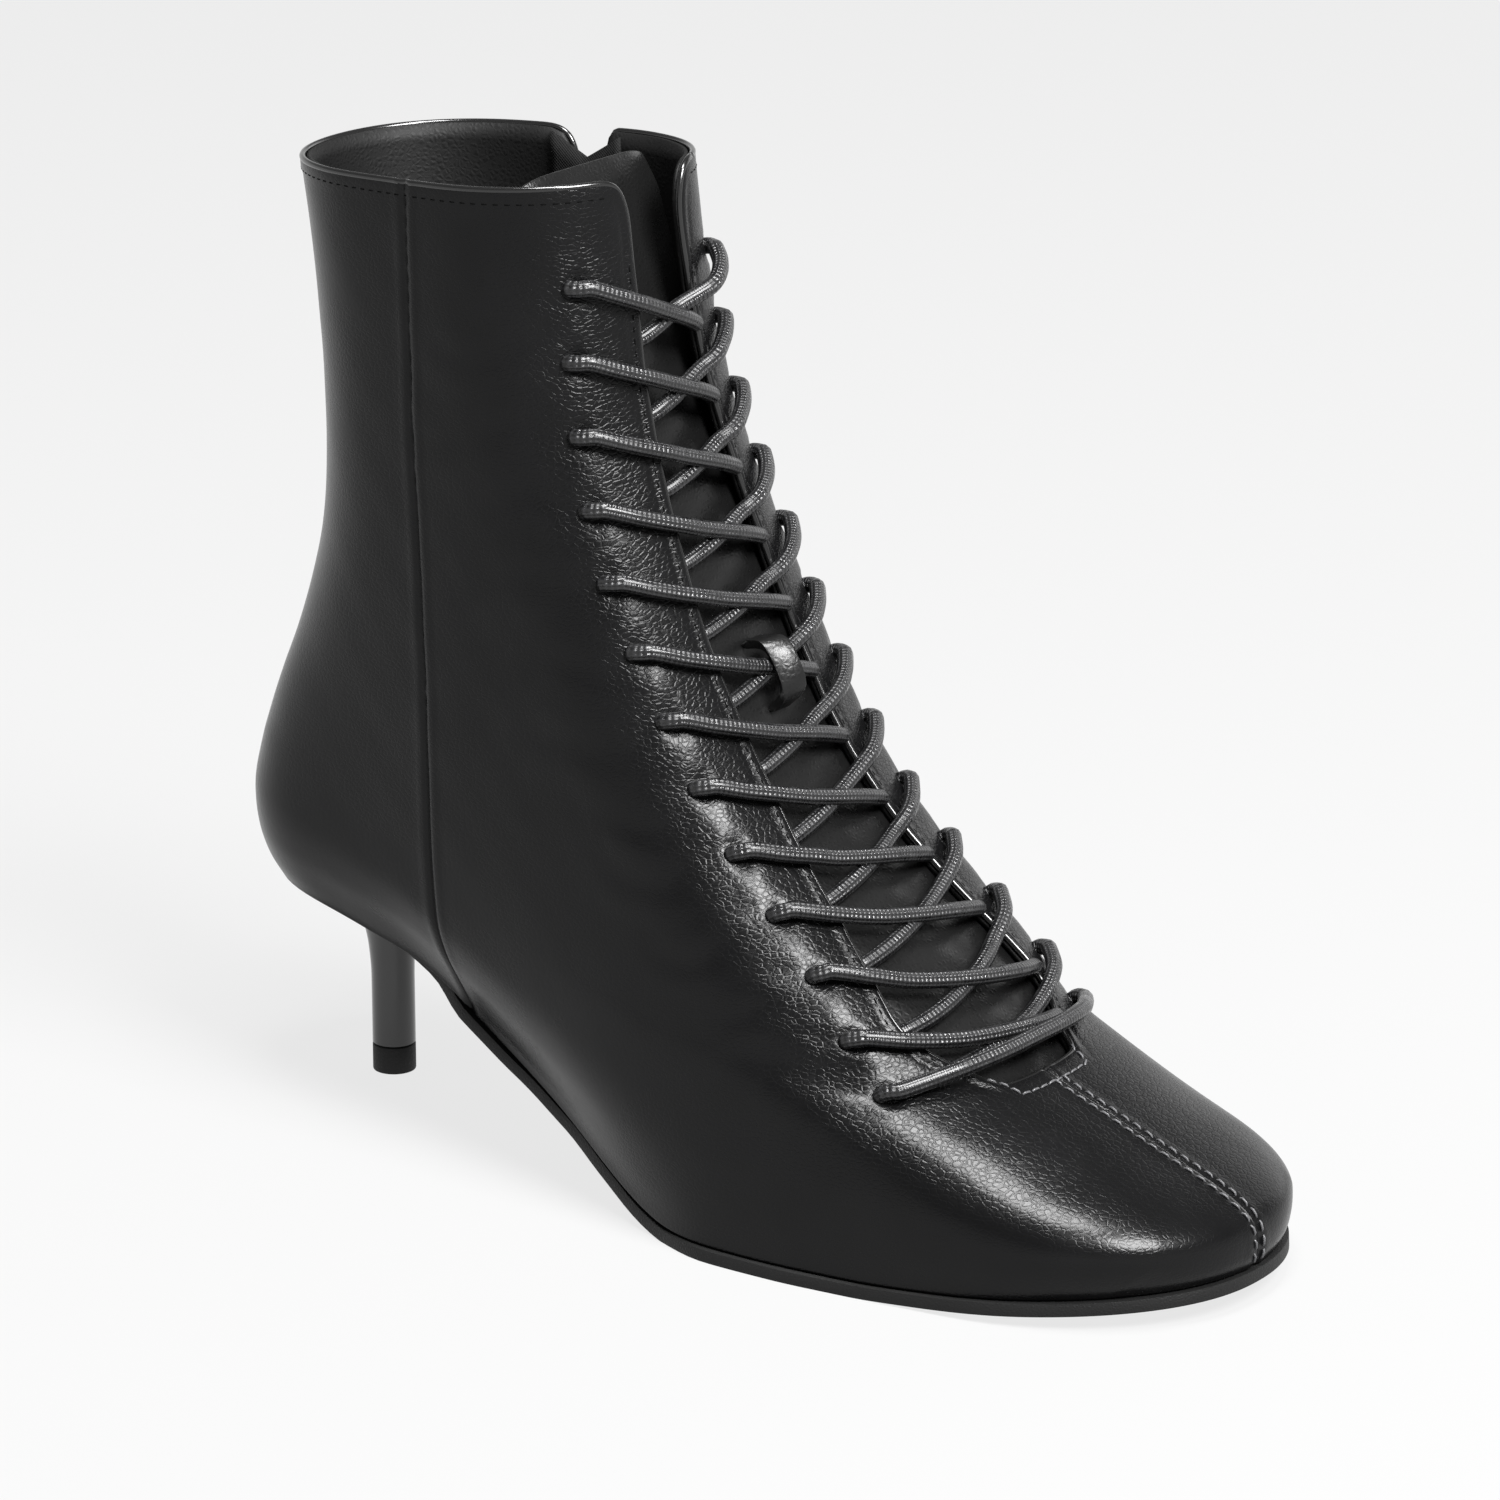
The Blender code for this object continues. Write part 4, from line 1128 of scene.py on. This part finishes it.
def lace_run(first_side):
    """One half of the lace, from its hidden end at the top hole to the lowest hole."""
    run = Run()
    side = first_side
    out_of_hole(run, 0, side)
    for k in range(len(hole_rows) - 1):
        share = DIVE_SHARE if k < len(hole_rows) - 2 else LAST_DIVE_SHARE
        row_a, row_b = float(hole_rows[k]), float(hole_rows[k + 1])
        row_in = row_a + share * (row_b - row_a)
        start = hole_arc(row_a, side) - HOLE_BACK
        end = facing_arc(row_in, -side)
        high = 0.0017 if side < 0 else -0.0002
        for t in np.linspace(0, 1, 9):
            row = row_a + (row_in - row_a) * t
            arc = start + (-end + 0.0010 - start) * t
            edge = arc - facing_arc(row, side)
            lift = LACE_REST + (high - LACE_REST) * (1 - float(ease(-0.0060, 0.0010, edge)))
            lift -= 0.0016 * float(ease(0.80, 1.0, t))
            if k == 0 and side > 0:
                lift += LOOSE_LOOP * math.sin(math.pi * min(1.0, 1.5 * t))
            run.add(row, side * arc, lift)
        hole = hole_arc(row_b, -side)
        run.add(row_in, -side * (end + 0.0018), -0.0026, 0.42)
        for t in (0.35, 0.7):
            row = row_in + (row_b - row_in) * t
            run.add(row, -side * (end + (hole - end) * t), -0.0027, 0.36)
        side = -side
        out_of_hole(run, k + 1, side)
    return run


near_run = lace_run(-1)
far_run = lace_run(1)
bar = Run()
low_row = float(hole_rows[-1])
reach = hole_arc(low_row, 1) - HOLE_BACK
for t in np.linspace(0, 1, 11):
    over_cross = BAR_OVER_CROSS * float(ease(0.0, 0.3, t) * ease(0.0, 0.3, 1 - t))
    bar.add(low_row + BAR_ROWS * 4 * t * (1 - t), reach * (2 * t - 1), LACE_REST + over_cross)
path = near_run.path + bar.path + far_run.path[::-1]
flat = near_run.flat + bar.flat + far_run.flat[::-1]
lean = np.array(near_run.lean + bar.lean + far_run.lean[::-1])
print("lace length between its top holes, m:", round(float(running_lengths(path)[-1]), 3))
lace = tube("lace_run", path, LACE_RADIUS, 12, 0.0007, flat, lean)
lace_nodes =[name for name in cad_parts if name.startswith("lace_")]
settle(lace, lace_cord, replaces=tuple(lace_nodes))

# %% [markdown]
# A small leather strap on the tongue keeps the lace in the middle. It is a strip that leaves the
# tongue, goes over the crossing, a little turned, and comes back down.

# %% Lace keeper
KEEPER_WIDTH = 0.0048
KEEPER_TURN = 0.55
KEEPER_LENGTH = 0.0150
KEEPER_THICKNESS = 0.0018
row = float(0.42 * hole_rows[5] + 0.58 * hole_rows[6])
p, normal, up = frame_at(front_point, row, 0.0)
across = np.cross(up, normal)
top = 2.0 * LACE_RADIUS + 0.0009
ground = -TONGUE_CLEARANCE + GAP
half_profile = ((0.22, top), (0.31, 0.8 * top), (0.36, 0.3 * top), (0.40, ground + 0.0006),
                (0.45, ground), (0.50, ground))
profile = [(-share, rise) for share, rise in half_profile[::-1]] + [(0.0, top + 0.0002)]
profile += half_profile
strip = []
for share, rise in profile:
    turned = KEEPER_TURN * float(ease(0.3 * top, top, rise))
    flat_way = across * math.cos(turned) + normal * math.sin(turned)
    strip.append([p + up * share * KEEPER_LENGTH + normal * (rise - 0.0003 * abs(s) ** 2)
                  + flat_way * s * KEEPER_WIDTH / 2 for s in np.linspace(-1, 1, 7)])
keeper = grid_piece("lace_keeper", strip)
face_away(keeper, tuple(p - normal * 0.02))
modify(keeper, "SUBSURF", levels=1, render_levels=1)
modify(keeper, "SOLIDIFY", thickness=KEEPER_THICKNESS, offset=1.0, use_even_offset=False)
round_edges(keeper, 0.0007, 3)
settle(keeper, tongue_leather, replaces=("tongue_loop",))

# %% [markdown]
# Stitches are one small shape, a short thread that dips at both ends, laid again and again along
# the seams. A row of them is given by points on the leather, and each is turned to its place.

# %% Stitches
SEAM_STITCH = (0.0024, 0.00052)
EDGE_STITCH = (0.0018, 0.00036)
SEAM_STITCH_SIDE = 0.00145
FACING_STITCH_SIDE = 0.0017
ZIP_STITCH_SIDE = 0.0019
EDGE_SPACING = 0.0024


def one_stitch(length, thick):
    """A thread of eight sides that sinks at its ends, along Y, with Z away from the leather."""
    bpy.ops.mesh.primitive_cylinder_add(vertices=8, radius=thick / 2, depth=length,
                                        rotation=(math.pi / 2, 0, 0))
    shape = bpy.context.object
    bpy.ops.object.transform_apply(location=False, rotation=True, scale=False)
    bpy.ops.object.mode_set(mode="EDIT")
    bpy.ops.mesh.select_all(action="SELECT")
    bpy.ops.mesh.bisect(plane_co=(0, -length / 4, 0), plane_no=(0, 1, 0))
    bpy.ops.mesh.select_all(action="SELECT")
    bpy.ops.mesh.bisect(plane_co=(0, length / 4, 0), plane_no=(0, 1, 0))
    bpy.ops.object.mode_set(mode="OBJECT")
    points = read_points(shape.data)
    ends = np.abs(points[:, 1]) > 0.4 * length
    points[ends, 2] -= 0.9 * thick
    points[ends, 0] *= 0.7
    write_points(shape.data, points)
    return shape


def on_leather(points):
    """The nearest points of the finished leather with the normals there."""
    found = [leather_tree.find_nearest(Vector(p)) for p in points]
    return np.array([f[0] for f in found]), np.array([f[1] for f in found])


def stitch_places(track, spacing=0.0030, lift=-0.00006, slant=0.0):
    line, _, _ = along_path(track, spacing / 4)
    line, normals = on_leather(line)
    places = []
    for i in range(2, len(line) - 2, 4):
        forward = line[i + 2] - line[i - 2]
        forward = forward / np.linalg.norm(forward)
        up = normals[i] - forward * np.dot(normals[i], forward)
        up = up / np.linalg.norm(up)
        right = np.cross(forward, up)
        turned = forward * math.cos(slant) + right * math.sin(slant)
        places.append((line[i] + up * lift, np.cross(turned, up), turned, up))
    return places


places = []
for side in (-1, 1):
    rows = np.linspace(0.25, THROAT_ROW - 0.25, 60)
    places += stitch_places(skin_line(rows, lambda r: front_point(r, side * SEAM_STITCH_SIDE)),
                            lift=0.00022, slant=0.12 * side)
throat = []
throat_half = opening_arc(float(THROAT_ROW), 1)
for t in np.linspace(-1, 1, 40):
    share = abs(t)
    row = THROAT_ROW - 0.30 + 0.75 * float(ease(0.72, 1.0, share))
    arc = math.copysign(1, t) * (throat_half + 0.0012) * share**0.8
    throat.append(front_point(row, arc))
places += stitch_places(throat, 0.0026, lift=0.00018)
seam_stitches = lay_copies("seam_stitches", one_stitch(*SEAM_STITCH), places)
settle(seam_stitches, seam_thread_painted_highlight)

# %% [markdown]
# The turned edges have a closer and darker row of stitches, along the collar, the two facings and
# both sides of the zip. The side seam is sewn from inside, so no thread shows on it.

# %% Stitches of the turned edges
collar_row = TOP_ROW - 0.17
places = []
for side in (-1, 1):
    rows = np.linspace(THROAT_ROW + 0.6, TOP_ROW - 0.9, 90)
    facing = skin_line(rows, lambda r: front_point(r, side * (facing_arc(r, side)
                                                              + FACING_STITCH_SIDE)))
    places += stitch_places(facing, EDGE_SPACING)
    line, lengths = fine_loop(collar_row, side)
    start = seam_length(collar_row, side)
    end = lengths[-1] - facing_arc(collar_row, side) - 0.0040
    clear = SLOT_HALF + SLOT_FLARE + 0.002
    spans = [(0.002, start - clear), (start + clear, end)] if side > 0 else [(0.002, end)]
    for low, high in spans:
        places += stitch_places(at_length(line, lengths, np.linspace(low, high, 60)),
                                EDGE_SPACING)
for edge in (-1, 1):
    rows = np.linspace(SLOT_BOTTOM_ROW - 0.3, TOP_ROW - 0.6, 90)
    beside_zip = skin_line(rows, lambda r: side_point(r, 1, edge * (SLOT_HALF + ZIP_STITCH_SIDE)))
    places += stitch_places(beside_zip, EDGE_SPACING)
edge_stitches = lay_copies("edge_stitches", one_stitch(*EDGE_STITCH), places)
settle(edge_stitches, edge_thread)

# %% [markdown]
# A coil zip is a nylon spiral sewn to a woven tape. Seen from outside, its turns look like two
# columns of small slanting bars that mesh in the middle. One turn is modelled and laid up the
# slot, left and right by turns.

# %% Zip tape and coil
TAPE_HALF = 0.0085
TAPE_TOP_ROW = 20.95
TAPE_THICKNESS = 0.0008
TURN_RADIUS = 0.00105
TURN_WIRE = 0.00028
TURN_PITCH = 0.00065
TURN_SIDE = 0.00112
TURN_DEPTH = 0.00085


def tape_row(row, share):
    """The tape's top edge parts in a small V above the slider."""
    return float(row - 0.32 * ease(ZIP_TOP_ROW - 1.5, TAPE_TOP_ROW, row) * (1 - abs(share)))


tape_rows = np.linspace(SLOT_BOTTOM_ROW - 0.6, TAPE_TOP_ROW, 60)
tape = grid_piece("zip_tape_woven", [[off_side(tape_row(r, a), 1, a * TAPE_HALF, -(WALL + GAP))
                                      for a in np.linspace(-1, 1, 13)] for r in tape_rows])
face_away(tape, (0.0, 0.0, 0.05))
modify(tape, "SOLIDIFY", thickness=TAPE_THICKNESS, offset=-1.0)
tape.data.shade_smooth()
settle(tape, zip_cloth, replaces=("zip_tape",))

bpy.ops.mesh.primitive_torus_add(major_segments=12, minor_segments=6, major_radius=TURN_RADIUS,
                                 minor_radius=TURN_WIRE)
turn = bpy.context.object
points = read_points(turn.data)
points[:, 0] *= 1.35
points[:, 2] *= 0.9
points = points[:, [0, 2, 1]]
points[:, 1] += 0.00035 * points[:, 0] / 0.0014
write_points(turn.data, points)
turn.data.flip_normals()
rows = np.linspace(SLOT_BOTTOM_ROW + 0.15, ZIP_TOP_ROW, 400)
spine, _, _ = along_path([side_point(float(r), 1, 0.0) for r in rows[::8]], TURN_PITCH)
middle_rows = np.linspace(rows[0], rows[-1], len(spine))
places = []
for i, p in enumerate(spine[1:-1]):
    hand = 1 if i % 2 else -1
    up = spine[i + 2] - spine[i]
    up = up / np.linalg.norm(up)
    _, normal, _ = frame_at(side_point, float(middle_rows[i + 1]), 0.0, 1)
    normal = normal - up * np.dot(normal, up)
    normal = normal / np.linalg.norm(normal)
    across = np.cross(up, normal) * hand
    places.append((p - normal * TURN_DEPTH + across * TURN_SIDE, across, up, normal))
coil = lay_copies("zip_coil_turns", turn, places)
settle(coil, coil_nylon, replaces=("zip_coil",))

# %% [markdown]
# The slider is a small cast body, narrow below and wide above, with a bail that holds the pull.
# It is shaped at the origin, where sizes are easy to read, and its mesh is then set on the zip.

# %% Slider
SLIDER_ROW = 19.75
SLIDER_SIZE = (0.0074, 0.0021, 0.0095)
BAIL_WIRE = 0.0005
PULL_WIRE = 0.00055
PULL_HALF = 0.0030
PULL_LOOP = 0.0125
TAB_SIZE = (0.0058, 0.0011, 0.0150)
slider_point, slider_normal, slider_up = frame_at(side_point, SLIDER_ROW, 0.0, 1)
slider_across = np.cross(slider_up, slider_normal)


def set_on_zip(piece, rise):
    """Move a shape made round the origin onto the zip: X across, Y out, Z up."""
    turn = Matrix((slider_across, slider_normal, slider_up)).transposed().to_4x4()
    place = Matrix.Translation(Vector(slider_point + slider_normal * rise)) @ turn
    piece.data.transform(place)
    piece.data.update()


def joined(name, pieces):
    bpy.ops.object.select_all(action="DESELECT")
    for piece in pieces:
        piece.select_set(True)
    bpy.context.view_layer.objects.active = pieces[0]
    bpy.ops.object.join()
    pieces[0].name = name
    return pieces[0]


def slab(size, place, bevel):
    """A box with rounded edges, its scale and place in its mesh."""
    bpy.ops.mesh.primitive_cube_add(size=1.0)
    piece = bpy.context.object
    piece.data.transform(Matrix.Translation(place) @ Matrix.Diagonal((*size, 1.0)))
    modify(piece, "BEVEL", width=bevel, segments=3, limit_method="ANGLE")
    return piece


body = slab(SLIDER_SIZE, (0, 0, 0), 0.0006)
points = read_points(body.data)
low = np.clip(-points[:, 2] / (SLIDER_SIZE[2] / 2), 0, 1)
high = np.clip(points[:, 2] / (SLIDER_SIZE[2] / 2), 0, 1)
points[:, 0] *= 1 - 0.26 * low**1.5
points[:, 1] *= 1 - 0.20 * high**2
write_points(body.data, points)
bail_path = [(0, y, z) for y, z in ((0.0008, -0.0027), (0.0022, -0.0025), (0.0033, -0.0018),
                                    (0.0036, 0.0), (0.0033, 0.0018), (0.0022, 0.0025),
                                    (0.0008, 0.0027))]
bail = tube("bail", bail_path, BAIL_WIRE, 8, 0.0004)
bail.data.transform(Matrix.Diagonal((1.8, 1.0, 1.0, 1.0)))
slider = joined("zip_slider_cast", [body, bail])
set_on_zip(slider, GAP + SLIDER_SIZE[1] / 2)
slider.data.shade_smooth()
settle(slider, slider_metal, replaces=("zip_slider",))

# %% [markdown]
# The pull hangs from the bail: a wire loop and a flat tab below it. It swings, so it rides on
# its own body.

# %% Pull
hinge_rise = GAP + SLIDER_SIZE[1] + 1.3 * PULL_WIRE + GAP + 0.0002
loop_path = [(-0.0006, 0, 0.0), (-0.0022, 0, -0.0001), (-PULL_HALF, 0, -0.0010),
             (-PULL_HALF, 0, -0.0060), (-PULL_HALF, 0, -0.0115), (-0.0022, 0, -0.0128),
             (0.0, 0, -0.0130), (0.0022, 0, -0.0128), (PULL_HALF, 0, -0.0115),
             (PULL_HALF, 0, -0.0060), (PULL_HALF, 0, -0.0010), (0.0022, 0, -0.0001),
             (0.0006, 0, 0.0), (-0.0006, 0, 0.0)]
loop = tube("pull_loop", loop_path, PULL_WIRE, 8, 0.0005)
tab = slab(TAB_SIZE, (0, 0, -PULL_LOOP - TAB_SIZE[2] / 2 + PULL_WIRE), 0.0005)
points = read_points(tab.data)
share = np.clip((-points[:, 2] - PULL_LOOP) / TAB_SIZE[2], 0, 1)
points[:, 0] *= 0.90 + 0.14 * share
write_points(tab.data, points)
pull = joined("zip_pull", [tab, loop])
set_on_zip(pull, hinge_rise)
pull.data.shade_smooth()
settle(pull, slider_metal, body="pull_tab", replaces=("zip_pull_tab",))

# %% [markdown]
# The outsole is a thin plate cut to the feather line, a little wider than the upper so that its
# edge shows. A second plate inside is the sock that the foot stands on.

# %% Sole and sock
PLATE_END = 0.02
SOCK_CLEARANCE = 0.0006


def plate_points(margin, count, across):
    edges = []
    for side in (-1, 1):
        line, _ = fine_loop(0.0, side)
        back = line[0, 0] - float(margin(line[0, 0]))
        front = line[-1, 0] + float(margin(line[-1, 0]))
        t = (1 - np.cos(np.linspace(0, math.pi, count + 1))) / 2
        x = back + (front - back) * t
        source = line[0, 0] + (line[-1, 0] - line[0, 0]) * t
        y = np.interp(source, line[:, 0], np.abs(line[:, 1]))
        ends = rounded(x - back, PLATE_END, 2.0) * rounded(front - x, PLATE_END, 2.0)
        edges.append(side * (y + margin(x) * ends))
    shares = np.linspace(0, 1, across + 1)
    return x, [edges[0] + (edges[1] - edges[0]) * s for s in shares]


def plate(name, margin, height, thickness, bevel, count=120, across=16):
    x, lines = plate_points(margin, count, across)
    z = height(x)
    piece = grid_piece(name, [[(x[i], line[i], z[i]) for i in range(len(x))] for line in lines])
    bm = bmesh.new()
    bm.from_mesh(piece.data)
    bmesh.ops.remove_doubles(bm, verts=bm.verts, dist=1e-5)
    bm.to_mesh(piece.data)
    bm.free()
    if sum(face.normal.z * face.area for face in piece.data.polygons) > 0:
        piece.data.flip_normals()
    modify(piece, "SOLIDIFY", thickness=thickness, offset=-1.0, use_even_offset=True)
    round_edges(piece, bevel, 2, 50)
    return piece


def sole_margin(x):
    inside = -(WALL + 2 * GAP)
    return inside + (SOLE_STEP - inside) * ease(1.1 * HEEL_COVER_END, SOLE_EDGE_START, x)


def sock_margin(x):
    return -(WALL + 2 * GAP + SOCK_CLEARANCE) + 0 * x


outsole = plate("outsole_plate", sole_margin, sole_bottom, SOLE_THICKNESS, 0.0004)
settle(outsole, sole_rubber, replaces=("outsole",))
sock = plate("sock_plate", sock_margin,
             lambda x: sole_bottom(x) + sole_rise(x, SOLE_THICKNESS + 2 * GAP),
             INSOLE_THICKNESS, 0.0005)
settle(sock, sock_leather, replaces=("insole",))

# %% [markdown]
# The heel is a slim moulded stem. A grid is wrapped round it, with rings from the tip to the
# flare that meets the seat. Only the back flares, which gives the kitten heel its set back line.

# %% Heel and tip
STEM = {
    "rise": (0.0, 0.38, 0.55, 0.70, 0.82, 0.92, 1.0),
    "back": (1.0, 1.0, 1.12, 1.45, 2.05, 2.90, 4.20),
    "front": (1.0, 1.0, 1.02, 1.08, 1.25, 1.60, 2.20),
    "half": (1.0, 1.0, 1.05, 1.20, 1.60, 2.30, 3.60)}
rings = []
heel_start = TIP_HEIGHT + GAP
for rise in np.concatenate([np.linspace(0, 0.38, 8)[:-1], np.linspace(0.38, 1.0, 36)]):
    values = {k: float(smooth(STEM["rise"], STEM[k], rise)) for k in ("back", "front", "half")}
    ring = []
    for angle in np.linspace(0, 2 * math.pi, 49):
        turn_share = (1 + math.cos(angle)) / 2
        forward = values["back"] + (values["front"] - values["back"]) * ease(0.3, 0.7, turn_share)
        x = TIP_RADIUS * float(forward) * math.cos(angle)
        y = TIP_RADIUS * values["half"] * math.sin(angle)
        seat = float(sole_bottom(x)) - GAP
        ring.append((x, y, heel_start + (seat - heel_start) * rise))
    rings.append(ring)
heel = grid_piece("heel_stem", rings)
only(heel)
bpy.ops.object.mode_set(mode="EDIT")
bpy.ops.mesh.select_all(action="SELECT")
bpy.ops.mesh.remove_doubles(threshold=1e-5)
bpy.ops.mesh.select_all(action="DESELECT")
bpy.ops.mesh.select_non_manifold()
bpy.ops.mesh.edge_face_add()
bpy.ops.mesh.select_all(action="SELECT")
bpy.ops.mesh.normals_make_consistent(inside=False)
bpy.ops.object.mode_set(mode="OBJECT")
smooth_faces(heel, 50)
settle(heel, heel_gloss, replaces=("heel",))

bpy.ops.mesh.primitive_cylinder_add(vertices=48, radius=TIP_RADIUS, depth=TIP_HEIGHT,
                                    location=(0, 0, TIP_HEIGHT / 2))
tip = bpy.context.object
tip.name = "heel_tip_piece"
bpy.ops.object.transform_apply(location=True, rotation=False, scale=False)
modify(tip, "BEVEL", width=0.0003, segments=2, limit_method="ANGLE")
smooth_faces(tip, 50)
settle(tip, tip_rubber, replaces=("heel_tip",))

# %% [markdown]
# The studio is plain: a pale floor that runs far back, a surround that is pale at the horizon
# and darker overhead, and three soft lights. They give leather the long soft highlights that
# show its form.

# %% Studio
PALE = 0.78
bpy.ops.mesh.primitive_plane_add(size=12.0, location=(0, 0, 0))
floor = bpy.context.object
floor.name = "studio_floor"
floor_paper, floor_shader, _ = surface("studio_paper", (0.045, 0.045, 0.045), 0.9,
                                       Specular_IOR_Level=0.05, Emission_Strength=PALE)
floor_shader.inputs["Emission Color"].default_value = (1.0, 1.0, 1.0, 1.0)
floor.data.materials.append(floor_paper)

world = bpy.data.worlds.new("studio_surround")
bpy.context.scene.world = world
world.use_nodes = True
sky = Wire(world.node_tree)
_, _, height = sky.node("ShaderNodeTexCoord", output="Generated").parts()
shade = blend_colours(sky, height.between(0.10, 0.42), (PALE, PALE, PALE), (0.20, 0.20, 0.20))
world.node_tree.links.new(shade.socket, world.node_tree.nodes["Background"].inputs["Color"])
bpy.context.scene.view_settings.view_transform = "Standard"


def soft_light(name, place, size, power):
    bpy.ops.object.light_add(type="AREA", location=place)
    light = bpy.context.object
    light.name = name
    light.data.shape = "SQUARE"
    light.data.size = size
    light.data.energy = power
    aim = Vector((0.08, 0.0, 0.08)) - Vector(place)
    light.rotation_euler = aim.to_track_quat("-Z", "Y").to_euler()


soft_light("front_light", (1.07, -0.26, 1.19), 0.62, 72.0)
soft_light("top_light", (0.24, -0.14, 1.50), 0.44, 34.0)
soft_light("side_light", (0.10, 1.50, 0.55), 0.80, 2.0)
print("lights: 3")
